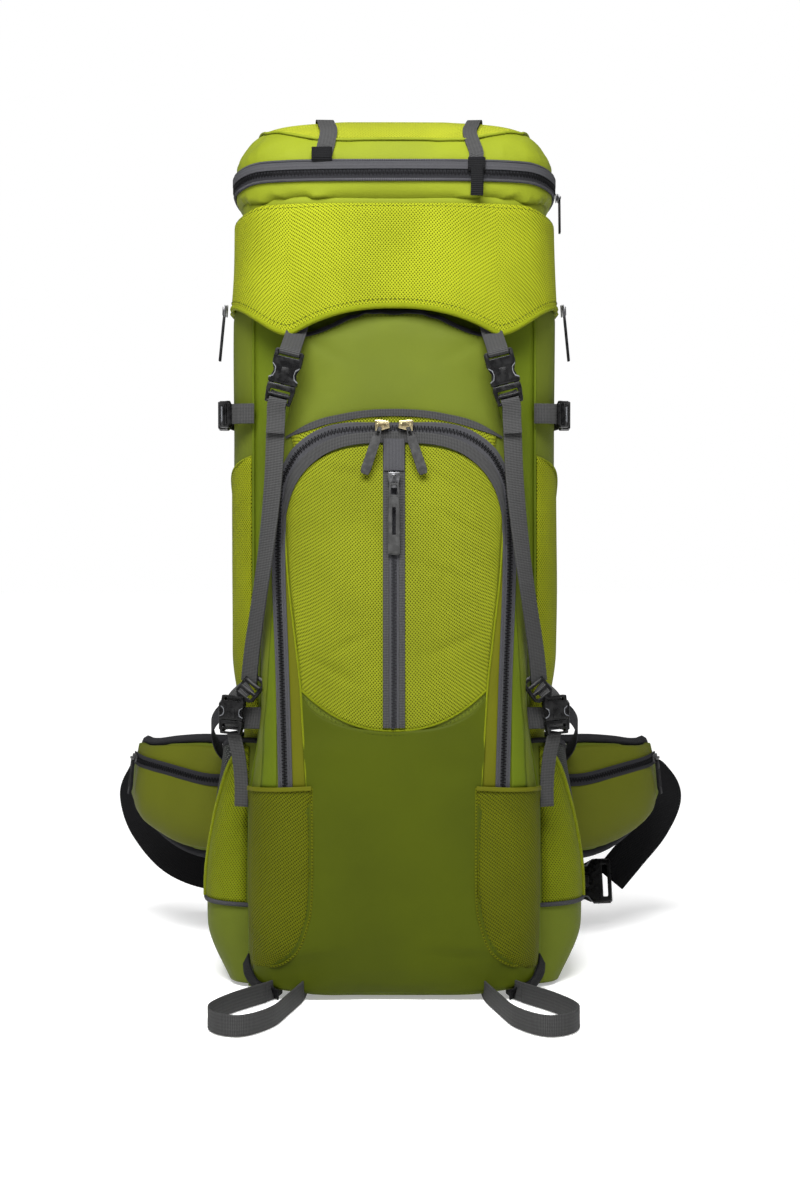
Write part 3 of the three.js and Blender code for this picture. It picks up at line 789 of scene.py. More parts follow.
for side, sign in (("left", -1), ("right", 1)):
    def patch_at(u, v, sign=sign):
        outer = pocket_half_width(mix(206 - 4 * u, 30, v)) - 0.2  # draws in at the foot
        out = u if sign > 0 else 1 - u
        z = mix(206 - 4 * out, 30, 1 - v)
        inner = through([(30, 125), (33, 117), (46, 94), (71, 83), (104, 78.5), (205, 78)], z)
        return sign * mix(inner, outer, 1 - (1 - out) ** 1.7), z

    def patch_lift(u, v):
        lip = ease(v, 0.86, 1.0)
        return 1.2 + 3.2 * sin(pi * min(1, max(0, v))) ** 0.7 * sin(
            pi * min(1, max(0.0, u))
        ) ** 0.5 + 2.2 * lip

    cover(f"{side}_corner_patch", 30, 54, patch_at, patch_lift, patch_mesh, 1.4 * MM)
    edge = [(sign * x, z) for x, z in patch_inner]
    taped(f"{side}_patch_binding", edge, 2.2, patch_mesh, 2.0, steps=60)
    lip = [(sign * x, 205 - 4 * i / 6) for i, x in enumerate((78, 90, 102, 114, 126, 134, 139))]
    taped(f"{side}_patch_lip", lip, 4.2, olive_ripstop, 5.0, steps=40)

    def strip_at(u, v, sign=sign):
        z = mix(203, 486, v)
        coil = through([(z, x) for x, z in ZIP_COIL[:4]], z)
        out = u if sign > 0 else 1 - u
        return sign * mix(panel_half(z) - 1, coil - 4, out), z

    cover(f"{side}_ripstop_strip", 5, 50, strip_at, 0.9, olive_ripstop, 0.6 * MM)

    def gusset_at(u, v, sign=sign):
        z = mix(203, 400, v)
        out = u if sign > 0 else 1 - u
        return sign * mix(112, mix(129, 116, v), out), z

    cover(f"{side}_dark_gusset", 6, 40, gusset_at, 0.8, corner_green, 0.6 * MM)
    piping = [on_pocket(sign * x, z, 1.2) for x, z in panel_side]
    tube = soft_tube(f"{side}_panel_piping", piping, 1.1 * MM, lime_binding, steps=80)
    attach(tube, "root")
foot = [on_pocket(x, z, 1.2) for x, z in panel_foot]
foot_piping = soft_tube("panel_foot_piping", foot, 1.1 * MM, lime_binding, steps=90)
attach(foot_piping, "root")


# ---------------------------------------------------------------------------------------------
# Front zips. The arched one runs up both sides and over the lime panel, between a wide grey
# binding inside it and a mesh crescent outside it; the short one splits the panel.
# ---------------------------------------------------------------------------------------------
def zip_teeth(name, points, faces, material, steps, body="root", pitch=1.7):
    """A coil zip: small teeth that lean to either side by turns."""
    shape = bmesh.new()
    route = smooth_route(points, steps)
    looks = smooth_route(faces, steps)
    walked, wanted, side_now = 0.0, 0.0, 1
    for a, b, look in zip(route, route[1:], looks):
        run = (b - a).length
        ahead = (b - a) / run
        side = look.cross(ahead).normalized()
        turn = Matrix((side, ahead, side.cross(ahead))).transposed().to_4x4()
        while wanted <= walked + run:
            centre = a + ahead * (wanted - walked) + side * (side_now * 0.9 * MM)
            size = Matrix.Diagonal((3.4 * MM, 1.0 * MM, 1.3 * MM, 1))
            bmesh.ops.create_cube(shape, size=1, matrix=Matrix.Translation(centre) @ turn @ size)
            wanted += pitch * MM
            side_now = -side_now
        walked += run
    piece = finish_mesh(name, shape, material)
    piece.data.polygons.foreach_set("use_smooth", [False] * len(piece.data.polygons))
    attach(piece, body)
    return piece


def arch_top(x):
    return 640 + 22 * (1 - ease(abs(x), 20, 92))


zip_tape_piece = taped("front_zip_fabric", coil_flat, 14, grey_tape, 1.6, steps=150)
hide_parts("front_zip_tape")
zip_teeth(
    "front_zip_coil",
    [on_pocket(x, z, 2.9) for x, z in coil_flat],
    [pocket_look(x, z) for x, z in coil_flat],
    black_webbing, 200,
)
inner_arch = [(106, 436), (105, 456), (103, 474), (99, 491), (91, 506.5), (79, 519), (62, 529.5), (38, 536)]
arch_route = [*[(-x, z) for x, z in inner_arch], (0, 538), *reversed(inner_arch)]


def narrowing(low, high, reach):
    """Webbing that is narrower at both ends of its run."""
    return lambda u: mix(low, high, ease(min(u, 1 - u), 0.0, reach)) * MM


taped("inner_arch_binding", arch_route, narrowing(1.5, 11, 0.30), grey_webbing, 2.6, steps=120)


def crescent_at(u, v):
    s = 2 * u - 1
    outer = 562 - 19 * abs(s) ** 2.2
    inner = through([(0, 550), (48, 548), (72, 542), (90, 530), (96, 520)], abs(s) * 96)
    return s * mix(95, 99, v), mix(inner, outer, v)


cover("mesh_crescent", 60, 6, crescent_at, 1.4, pocket_mesh, 0.8 * MM)
crescent = [(s / 8 * 104, 562 - 24 * abs(s / 8) ** 2.2) for s in range(-8, 9)]
taped("crescent_binding", crescent, narrowing(2.5, 7, 0.14), grey_webbing, 2.2, steps=90)
taped("arch_binding", [(x, arch_top(x) - 2.0) for x in range(-92, 93, 8)], 5, dark_tape, 1.0, steps=90)
centre_points = [on_pocket(0, z, 2.2) for z in (262, 300, 340, 380, 420, 460, 500, 534)]
centre_tape = strap("centre_zip_fabric", centre_points, [(0, -1, 0)], 21 * MM, grey_tape, 1.2 * MM)
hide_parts("centre_zip_tape")
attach(centre_tape, "root")
teeth_points = [p + mm(0, -1.3, 0) for p in centre_points]
zip_teeth("centre_zip_coil", teeth_points, [Vector((0, -1, 0))] * len(teeth_points), dark_tape, 90)
for offset in (-7.6, 7.6):
    fold = strap(
        f"centre_fold_{'left' if offset < 0 else 'right'}",
        [p + mm(offset, -0.9, 0) for p in centre_points], [(0, -1, 0)], 5.4 * MM, grey_webbing, 0.9 * MM,
    )
    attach(fold, "root")

# The fabric end of the centre zip, folded over its top.
garage_route = [on_pocket(0, z, 4.4) for z in (536, 528, 520, 512, 505)]
garage = strap("centre_zip_garage", garage_route, [(0, -1, 0)], 20 * MM, grey_tape, 1.6 * MM, steps=12)
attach(garage, "root")


# ---------------------------------------------------------------------------------------------
# Seams and corner tabs. Rows of green thread along the pocket's seams, and a black webbing tab
# at each lower corner, sewn in under the pocket.
# ---------------------------------------------------------------------------------------------
def stitches(name, route, faces, material, length=2.6 * MM, pitch=4.2 * MM, radius=0.42 * MM):
    """A row of thread stitches along a route, each a small raised bead."""
    shape = bmesh.new()
    route = [Vector(p) for p in route]
    faces = [Vector(f) for f in faces]
    walked, wanted = 0.0, 0.0
    for a, b, look in zip(route, route[1:], faces):
        run = (b - a).length
        if run == 0:
            continue
        ahead = (b - a) / run
        side = look.cross(ahead).normalized()
        up = ahead.cross(side).normalized()
        while wanted <= walked + run:
            centre = a + ahead * (wanted - walked)
            turn = Matrix((ahead, side, up)).transposed().to_4x4()
            size = Matrix.Diagonal((length / 2, radius, radius * 0.8, 1))
            bmesh.ops.create_icosphere(
                shape, subdivisions=1, radius=1, matrix=Matrix.Translation(centre) @ turn @ size,
            )
            wanted += pitch
        walked += run
    return finish_mesh(name, shape, material)


thread_green = pack_cloth("thread_green", linear(72, 84, 22))
sewn_rows = {
    "panel_foot_stitches": [(x, z - 4.5) for x, z in panel_foot],
    "left_patch_stitches": [(-x - 3.6, z + 1.5) for x, z in patch_inner],
    "right_patch_stitches": [(x + 3.6, z + 1.5) for x, z in patch_inner],
    "arch_seam_stitches": [(x, arch_top(x) - 7.5) for x in range(-84, 85, 8)],
}
for name, row in sewn_rows.items():
    line = smooth_route([on_pocket(x, z, 2.6 if "patch" in name else 1.6) for x, z in row], 90)
    row_of_thread = stitches(name, line, [(0, -1, 0)] * len(line), thread_green)
    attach(row_of_thread, "root")
for side, sign in (("left", -1), ("right", 1)):
    route = [(sign * 144, -102, 33), (sign * 141, -119, 24), (sign * 130, -135, 13), (sign * 110, -143, 6)]
    tab = strap(
        f"{side}_corner_tab", [mm(*p) for p in route],
        [
            Vector((sign * 0.9, -1, 0)), Vector((sign * 0.6, -1, -0.2)), Vector((sign * 0.4, -1, -0.6)),
            Vector((0, -1, -0.8)),
        ],
        14 * MM, black_webbing, 1.8 * MM, steps=24,
    )
    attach(tab, "root")

# ---------------------------------------------------------------------------------------------
# Lid. A boxy green pouch with a domed top, stuffed full. A lime mesh panel is let into the top,
# and a zip runs round the front and both sides, between two plain bands.
# ---------------------------------------------------------------------------------------------
LID_CENTRE_Y = -11
LID_HALF_WIDTH = 157
LID_HALF_DEPTH = 115
LID_DOME = 37  # how far the top is domed


def lid_dome(p, q):
    """How full the top is at p across and q along it, from 0 at its edge to 1 in the middle."""
    return max(0.0, (1 - min(1.0, abs(p)) ** 6) * (1 - min(1.0, abs(q)) ** 3.2)) ** 0.62


def lid_top(p, q):
    """A point on the lid's top, p and q from -1 to 1 across and along it."""
    x = LID_HALF_WIDTH * p * sqrt(1 - q * q / 4)
    y = LID_CENTRE_Y + LID_HALF_DEPTH * q * sqrt(1 - p * p / 4)
    return mm(x, y, 812 + LID_DOME * lid_dome(p, q))


def lid_side(angle, z):
    x = LID_HALF_WIDTH * math.copysign(sqrt(abs(cos(angle))), cos(angle))
    y = LID_HALF_DEPTH * math.copysign(sqrt(abs(sin(angle))), sin(angle))
    return mm(x, LID_CENTRE_Y + y, z)


lid = stuffed("lid_pouch", "lid_shell", lid_green, voxel=6 * MM, shrink=1.0 * MM, rounds=1)
for vert in lid.data.vertices:
    x = vert.co.x / MM / (LID_HALF_WIDTH - 1)
    y = (vert.co.y / MM - LID_CENTRE_Y) / (LID_HALF_DEPTH - 1)
    out = (x ** 4 + y ** 4) ** 0.25
    if out > 0.9 and 766 * MM < vert.co.z < 811 * MM:
        vert.co.x /= out
        vert.co.y = (LID_CENTRE_Y + (LID_HALF_DEPTH - 1) * y / out) * MM
    if vert.co.z > 811 * MM:
        p, q = x, y
        for _ in range(8):
            p, q = x / sqrt(1 - min(1.0, q * q) / 4), y / sqrt(1 - min(1.0, p * p) / 4)
        vert.co.z = (811 + LID_DOME * lid_dome(p, q)) * MM
zip_line = [lid_side(a / 40 * 2 * pi, 800) for a in range(41)]
under = {v.index for v in lid.data.vertices if v.co.z < 768 * MM}
swell(lid, 3.5, 9 * MM, under | near(lid, zip_line, 5 * MM))
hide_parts("lid_pouch")
lid_tree = surface(lid)


def on_lid(point, lift=0.0):
    place, normal, _, _ = lid_tree.find_nearest(point)
    return place + normal * (lift * MM)


def lid_look(point):
    return lid_tree.find_nearest(point)[1]


def lid_panel_half(q):
    return through([(-0.95, 0.50), (-0.88, 0.70), (-0.7, 0.84), (0.5, 0.88), (0.9, 0.80)], q)


def lid_panel(u, v):
    q = mix(-0.95, 0.88, v)
    return on_lid(lid_top((2 * u - 1) * lid_panel_half(q), q), 1.2)


lid_mesh = lay_cloth("lid_mesh_panel", 50, 44, lid_panel, lid_mesh_cloth, 1.0 * MM)
lid_pieces = [lid, lid_mesh]
border = [lid_top(-lid_panel_half(q / 20), q / 20) for q in range(17, -20, -1)]
border += [lid_top(p / 10 * 0.5, -0.95) for p in range(-10, 11)]
border += [lid_top(lid_panel_half(q / 20), q / 20) for q in range(-19, 18)]
lid_pieces.append(
    soft_tube("lid_panel_piping", [on_lid(p, 1.4) for p in border], 1.5 * MM, lid_green, steps=200)
)


def lid_band_point(angle, lift, rise=0.0):
    sink = 5 * ease(abs(math.degrees(angle) + 90), 40, 75)
    return on_lid(lid_side(angle, 792 + rise - sink), lift)


lid_angles = [math.radians(a) for a in range(-200, 21, 5)]
band_points = [lid_band_point(a, 1.8) for a in lid_angles]
band_faces = [lid_look(lid_side(a, 790)) for a in lid_angles]
level_faces = [Vector((f.x, f.y, 0)).normalized() for f in band_faces]
lid_tape = strap("lid_zip_fabric", band_points, level_faces, 18 * MM, dark_tape, 1.2 * MM, steps=160)
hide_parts("lid_zip_tape")
lid_pieces.append(lid_tape)
for name, rise in (("upper", 9), ("lower", -9)):
    points = [lid_band_point(a, 1.6, rise) for a in lid_angles]
    lid_pieces.append(soft_tube(f"lid_zip_{name}_piping", points, 1.5 * MM, grey_tape, steps=160))
fold_points = [lid_band_point(a, 3.4, 4.2) for a in lid_angles]
lid_pieces.append(strap("lid_zip_cover", fold_points, level_faces, 7 * MM, grey_tape, 0.9 * MM, steps=160))
zip_teeth(
    "lid_zip_coil", [lid_band_point(a, 3.0, -2.4) for a in lid_angles], level_faces, black_webbing, 160,
    body="lid",
)

# The two accessory straps on the top, with folded ends.
for side, x, low, wide in (("left", -70, 806, 18), ("right", 81, 795, 15)):
    route = [on_lid(lid_top(x / LID_HALF_WIDTH, q), 4.2) for q in (0.1, -0.2, -0.5, -0.75, -0.9)]
    route += [on_lid(mm(x, -150, z), 3.0) for z in (820, mix(820, low, 0.5), low)]
    looks = [Vector((0, 0, 1))] * 3 + [
        Vector((0, -0.5, 1)), Vector((0, -0.9, 0.7)),
    ] + [Vector((0, -1, 0))] * 3
    lid_pieces.append(
        strap(f"{side}_lid_top_strap", route, looks, (wide - 1.5) * MM, grey_webbing, 1.8 * MM, steps=60)
    )
    end = on_lid(mm(x, -150, low), 4.2)
    hem = [end + mm(0, 0.4, 9), end + mm(0, -0.9, 0), end + mm(0, 0.4, -4)]
    lid_pieces.append(
        strap(f"{side}_lid_top_hem", hem, [(0, -1, 0)], (wide + 1.5) * MM, black_webbing, 3.2 * MM, steps=10)
    )
    if side == "right":
        tail = [end + mm(0, -1.5, 2), end + mm(0.5, -3.5, -12), end + mm(0, -5.0, -28)]
        lid_pieces.append(
            strap("right_lid_top_tail", tail, [(0, -1, 0)], 12 * MM, black_webbing, 1.6 * MM, steps=16)
        )

LID_INSET = 0.957  # how far in the band under the lid stands


def lower_band(u, v):
    """The plain band that closes the lid's underside above the flap."""
    angle = math.radians(mix(-232, 52, u))
    edge = lid_side(angle, mix(748, 769, v))
    y = (edge.y - LID_CENTRE_Y * MM) * LID_INSET + LID_CENTRE_Y * MM
    return Vector((edge.x * LID_INSET, y, edge.z))


lid_pieces.append(lay_cloth("lid_lower_band", 150, 3, lower_band, lid_green, 1.0 * MM))
for piece in lid_pieces:
    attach(piece, "lid")
    "lime_mesh" if "mesh" in piece.name else "green_nylon"


# ---------------------------------------------------------------------------------------------
# Flap. One curved sheet of padded mesh that hangs from the lid round the front and both sides,
# with an arch cut in its lower edge. A bright binding is sewn all along the edge.
# ---------------------------------------------------------------------------------------------
def flap_bottom(x):
    reach = abs(x)
    return 664 - 27 * (reach / 102) ** 2.3 if reach < 102 else mix(637, 669, ease(reach, 100, 168))


def flap_edge(angle, v, out=0.0):
    """v is 0 at the flap's lower edge and 1 where it is sewn to the lid."""
    c, s = cos(angle), sin(angle)
    flare = 2.2 * (1 - v) + out
    x = (162 - 3.5 * v + flare) * math.copysign(abs(c) ** 0.56, c)
    y = (124 - 3.0 * v + flare) * math.copysign(abs(s) ** 0.56, s)
    top = 761 - 7 * ease(abs(x), 128, 158)
    z = mix(flap_bottom(x), top, v)
    roll = 3.0 * ease(v, 0.93, 1.0) + 1.6 * folds(x, y, z, 46, 2.0) * sin(pi * v)
    inward = Vector((x / 162, y / 124, 0)).normalized()
    if s < 0:
        roll += 11 * exp(-(x / 78) ** 2) * (1 - v) ** 1.5 + 2.5 * (1 - v) * ease(abs(x), 60, 110)
    return mm(x, LID_CENTRE_Y + y, z) - inward * (roll * MM)


FLAP_FROM, FLAP_TO = math.radians(-194), math.radians(14)
FLAP_ROUND = walk_of(lambda u: flap_edge(mix(FLAP_FROM, FLAP_TO, u), 0.5))


def flap_place(u, v):
    return flap_edge(mix(FLAP_FROM, FLAP_TO, evenly(FLAP_ROUND, u)), v)


flap = lay_cloth("flap_mesh", 190, 34, flap_place, lime_mesh, 4.0 * MM)
worn = flap.modifiers.new("rolled_edge", "BEVEL")
worn.width = 1.4 * MM
worn.segments = 3
worn.limit_method = "ANGLE"
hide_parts("lid_skirt")
edge_angles = [mix(FLAP_FROM, FLAP_TO, evenly(FLAP_ROUND, i / 100)) for i in range(101)]
rim = [flap_edge(edge_angles[0], v / 8, -1.5) for v in range(7, 0, -1)]
rim += [flap_edge(a, 0.0, -1.2) + mm(0, 0, -0.4) for a in edge_angles]
rim += [flap_edge(edge_angles[-1], v / 8, -1.5) for v in range(1, 8)]
flap_binding = soft_tube("flap_binding", rim, 2.7 * MM, lime_binding, steps=260)
seam_line = [flap_edge(a, 0.06, 0.35) for a in edge_angles]
seam_looks = [Vector((cos(a), sin(a), 0)) for a in edge_angles]
flap_stitches = stitches("flap_stitches", seam_line, seam_looks, thread_green)
top_line = [flap_edge(a, 0.965, 0.2) for a in edge_angles]
flap_top_stitches = stitches("flap_top_stitches", top_line, seam_looks, thread_green)
for piece in (flap, flap_binding, flap_stitches, flap_top_stitches):
    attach(piece, "lid")


def hinge_cloth(u, v):
    x = mix(-104, 104, u)
    z = mix(706, 772, v)
    y = 99.6 + 4.5 * ease(z, 712, 752)
    return mm(-x, y + 0.8 * folds(x, 0, z, 30), z)


lid_hinge = lay_cloth("lid_hinge_fabric", 40, 24, hinge_cloth, corner_green, 1.0 * MM)
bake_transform(lid_hinge)


# ---------------------------------------------------------------------------------------------
# Side-release buckles. Glass-filled nylon: an open housing with a D-shaped window on each side,
# and an insert whose two prongs snap into the windows. Both ends have bars for the webbing.
# ---------------------------------------------------------------------------------------------
def moulded(name, colour, roughness, metallic=0.0):
    plastic = Finish(name, colour, roughness, metallic)
    grain = plastic.noise(2600, 2)
    wear = plastic.noise(220, 3).between(0.35, 0.75)
    plastic.set("Base Color", wear.mix((*colour, 1), (*(c * 1.5 + 0.004 for c in colour), 1)))
    plastic.set("Roughness", wear * 0.16 + roughness)
    plastic.bump(grain, 0.12 * MM, 0.5)
    return plastic.material


black_plastic = moulded("black_plastic", linear(14, 14, 15), 0.26)
# A pale plastic used for painted highlights on the black buckles and adjusters.
highlight_plastic = moulded("buckle_painted_highlight", linear(120, 122, 126), 0.32)
grey_rubber = moulded("grey_rubber", linear(72, 72, 72), 0.6)
black_rubber = moulded("black_rubber", linear(32, 32, 34), 0.5)
gun_metal = moulded("gun_metal", linear(128, 128, 130), 0.28, 1.0)
pale_gold = moulded("pale_gold", linear(222, 205, 160), 0.22, 1.0)


def aimed(place, axis, outward):
    """Turns a piece so that its +Z points along axis and its -Y looks outward."""
    z = Vector(axis).normalized()
    y = -Vector(outward)
    y = (y - z * y.dot(z)).normalized()
    return Matrix.Translation(place) @ Matrix((y.cross(z), y, z)).transposed().to_4x4()


def slab(shape, outline, depth, at=0.0, edge=0.6, holes=()):
    """Adds a plate in the XZ plane, in millimetres, with rounded edges, around y = at."""
    part = bmesh.new()
    for ring in (outline, *holes):
        verts = [part.verts.new((x, at - depth / 2, z)) for x, z in ring]
        for a, b in zip(verts, verts[1:] + verts[:1]):
            part.edges.new((a, b))
    bmesh.ops.triangle_fill(part, edges=part.edges[:], use_beauty=True, use_dissolve=False)
    front = bmesh.ops.extrude_face_region(part, geom=part.faces[:])
    moved = [g for g in front["geom"] if isinstance(g, bmesh.types.BMVert)]
    bmesh.ops.translate(part, verts=moved, vec=(0, depth, 0))
    bmesh.ops.recalc_face_normals(part, faces=part.faces[:])
    sharp = [e for e in part.edges if len(e.link_faces) == 2 and e.calc_face_angle(0) > 0.35]
    if edge:
        bmesh.ops.bevel(
            part, geom=sharp, offset=edge, segments=2, profile=0.5, affect="EDGES", material=-1,
            clamp_overlap=True,
        )
    joined = bpy.data.meshes.new("part")
    part.to_mesh(joined)
    part.free()
    shape.from_mesh(joined)
    bpy.data.meshes.remove(joined)


def block(x0, x1, z0, z1):
    return [(x0, z0), (x1, z0), (x1, z1), (x0, z1)]


def placed(name, shape, matrix, material, body, node=None):
    """Puts a part drawn in millimetres in its place, on its body."""
    shape.transform(matrix @ Matrix.Scale(MM, 4))
    piece = finish_mesh(name, shape, material)
    flat = piece.modifiers.new("crisp", "EDGE_SPLIT")
    flat.split_angle = math.radians(38)
    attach(piece, body)
    if node:
        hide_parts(node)
    return piece


def buckle_housing(name, node, body, matrix, scale=1.0):
    shape = bmesh.new()
    outline = [(-14, 0), (14, 0), (14, 3), (10.4, 4.6), (9, 8), (9.6, 12), (13.2, 14.6), (14, 18), (13, 27)]
    outline += [(-13, 27), (-14, 18), (-13.2, 14.6), (-9.6, 12), (-9, 8), (-10.4, 4.6), (-14, 3)]
    slot_hole = block(-10, 10, 21.4, 24.6)
    for at in (-3.3, 3.3):
        slab(shape, outline, 2.4, at, 0.7, [slot_hole])
    slab(shape, block(-11, 11, 15.5, 20), 4.6, 0, 0.4)
    slab(shape, block(-13, 13, 25, 27), 5.4, 0, 0.6)
    slab(shape, [(-5, 2), (5, 2), (3.4, 13), (-3.4, 13)], 0.9, -4.8, 0.3)
    for x in (-13.2, 13.2):
        slab(shape, block(x - 0.8, x + 0.8, 15, 26), 5, 0, 0.3)
    bmesh.ops.scale(shape, vec=(scale, scale, scale), verts=shape.verts)
    piece = placed(name, shape, matrix, black_plastic, body, node)
    # Painted highlights: pale strips on the housing's face along the edges of the D-shaped windows.
    line = bmesh.new()
    for sign in (-1, 1):
        curve = [
            (14.1, 2.6), (10.1, 4.4), (8.7, 8), (9.3, 12.3), (13.2, 15), (13.0, 14.0), (10.1, 11.6),
            (9.5, 8), (10.8, 5.2), (14.1, 3.6),
        ]
        slab(line, [(sign * x, z) for x, z in curve][::sign], 0.7, -4.55, 0.15)
    bmesh.ops.scale(line, vec=(scale, scale, scale), verts=line.verts)
    placed(f"{name}_edges", line, matrix, highlight_plastic, body)
    return piece


def buckle_insert(name, node, body, matrix, scale=1.0):
    shape = bmesh.new()
    outline = [(-13.4, -0.6), (13.4, -0.6), (13.8, -5), (12.2, -16.2), (-12.2, -16.2), (-13.8, -5)]
    holes = [block(-9.8, 9.8, -8.2, -5), block(-9.4, 9.4, -14, -10.8)]
    slab(shape, outline, 8.6, 0, 0.9, holes)
    for z in (-9.5, -15.2):
        slab(shape, block(-11, 11, z - 0.9, z + 0.9), 9.6, 0, 0.6)
    for sign in (-1, 1):
        prong = [
            (12.6, -1), (8.4, -1), (7.4, 8), (8.4, 15.6), (11.2, 16.6), (13.0, 13.6), (11.0, 9.4),
            (12.8, 4),
        ]
        slab(shape, [(sign * x, z) for x, z in prong][::sign], 3.7, 0, 0.5)
    slab(shape, block(-1.8, 1.8, -1, 13.4), 3.6, 0, 0.5)
    bmesh.ops.scale(shape, vec=(scale, scale, scale), verts=shape.verts)
    return placed(name, shape, matrix, black_plastic, body, node)


def ladder(name, matrix, body, width=27.0, height=30.0, plate=True):
    """A ladder-lock adjuster: a frame with bars that the webbing doubles back through."""
    shape = bmesh.new()
    w, h = width / 2, height / 2
    outline = [
        (-w, -h + 4), (-w + 4, -h), (w - 4, -h), (w, -h + 4), (w, h - 3), (w - 3, h), (-w + 3, h),
        (-w, h - 3),
    ]
    holes = [block(-w + 3.4, w - 3.4, z - 1.8, z + 1.8) for z in (-h + 6, 0, h - 6)]
    slab(shape, outline, 3.6, 0, 0.9, holes)
    slab(shape, block(-w + 2, w - 2, h - 11.4, h - 8.6), 5.8, -0.6, 0.7)
    slab(shape, block(-w + 2, w - 2, -h + 8.4, -h + 11), 5.4, -0.4, 0.7)
    piece = placed(name, shape, matrix, black_plastic, body)
    # Painted highlight: a pale plate on the frame's face, standing in for light caught on it.
    if plate:
        highlight_plate = bmesh.new()
        slab(
            highlight_plate, [(-w + 5, -h + 9), (w - 5, -h + 9), (w - 6, h - 10), (-w + 6, h - 10)], 1.2,
            -3.2, 0.4,
        )
        placed(f"{name}_plate", highlight_plate, matrix, highlight_plastic, body)
    return piece


# ---------------------------------------------------------------------------------------------
# Front straps. From each side of the lid a short ribbed strap comes out under the flap to a
# buckle; below it a long strap runs down the pocket's edge to an adjuster at the lower corner.
# ---------------------------------------------------------------------------------------------
def web(name, points, faces, width, material, body, node=None, steps=48, thickness=1.8):
    piece = strap(
        name, [mm(*p) for p in points], [Vector(f) for f in faces], width * MM, material, thickness * MM,
        steps,
    )
    if body:
        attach(piece, body)
    if node:
        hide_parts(node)
    return piece


FRONT = (0, -1, 0)
LEAN = 0.25
WEBBING = 19.5  # the width of the straps
for side, sign in (("left", -1), ("right", 1)):
    up = Vector((-sign * LEAN, 0, 1)).normalized()
    node = f"{side}_lid_buckle_housing"
    meeting = Vector((sign * 106, -139, 588)) * MM
    matrix = aimed(meeting, up, FRONT) @ Matrix.Diagonal((1, 1, 1.2, 1))
    buckle_housing(f"{side}_front_buckle_housing", node, "lid", matrix)
    buckle_insert(f"{side}_front_buckle_insert", f"{side}_lid_buckle_insert", f"{side}_lid_insert", matrix)

    def along(distance, forward=0.0, up=up, meeting=meeting):
        return tuple((meeting / MM) + up * distance + Vector((0, forward, 0)))

    web(
        f"{side}_flap_strap", [along(27.6, 0), along(32, -2), along(43, 7), along(56, 18), along(80, 21)],
        [FRONT], WEBBING, grey_webbing, "lid", node=f"{side}_lid_webbing",
    )
    web(
        f"{side}_flap_strap_turn", [
            along(28.0, 1), along(29.2, -5.8), along(34, -5.0), along(41, 3), along(51, 14),
        ],
        [FRONT], WEBBING, grey_webbing, "lid",
    )
    down = web(
        f"{side}_long_strap_cloth",
        [along(-8, -0.5), along(-22, 0), (sign * 114, -146, 500), (sign * 120, -146, 440), (sign * 127, -144, 390),
         (sign * 135.5, -126, 338), (sign * 140, -112, 303)],
        [
            FRONT, FRONT, (sign * 0.3, -1, 0), (sign * 0.6, -1, 0), (sign * 0.8, -1, 0),
            (sign * 0.6, -1, 0), (sign * 0.5, -1, 0),
        ],
        17.5, grey_webbing, "root", node=f"{side}_long_strap", steps=110,
    )
    doubled = web(
        f"{side}_long_strap_return",
        [
            along(-14.8, -1), along(-15.6, -6.2), along(-23, -5.6), (sign * 111.6, -144, 555),
            (sign * 112.4, -147.6, 541),
        ],
        [FRONT], 17.3, grey_webbing, "root", steps=20,
    )
    foot = (sign * 140, -112, 303)
    for piece in (down, doubled):
        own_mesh(piece)
    lower_turn = Vector((sign * 0.35, -1, 0.1))
    adjuster = aimed(mm(sign * 138, -116, 298), (-sign * 0.75, 0.1, 1), lower_turn)
    ladder(f"{side}_corner_adjuster", adjuster, "root", 22, 27, plate=False)
    frame_place = aimed(mm(sign * 156, -115, 267), (-sign * 0.08, 0, 1), (sign * 0.35, -1, 0))
    buckle_housing(f"{side}_lower_frame", None, "root", frame_place, 0.86)
    buckle_insert(f"{side}_lower_clip", None, "root", frame_place, 0.86)
    web(
        f"{side}_frame_tab", [
            (sign * 124, -108, 268), (sign * 140, -107, 268), (sign * 152, -101, 267),
            (sign * 160, -90, 266),
        ],
        [FRONT, FRONT, (sign * 0.4, -1, 0), (sign, -0.7, 0)], 21, grey_webbing, "root", steps=24,
    )
    web(
        f"{side}_strap_tail",
        [
            (sign * 155, -115, 256), (sign * 153, -114, 246), (sign * 150, -111, 230),
            (sign * 148, -108, 206), (sign * 148, -107, 182),
        ],
        [(sign * 0.3, -1, 0)], 14, grey_webbing, "root", steps=36, thickness=1.5,
    )
    web(
        f"{side}_frame_link",
        [(sign * 139, -115, 300), (sign * 147, -115, 294), (sign * 153, -115, 288), (sign * 155, -115, 283)],
        [(sign * 0.35, -1, 0)], 15, grey_webbing, "root", steps=16,
    )

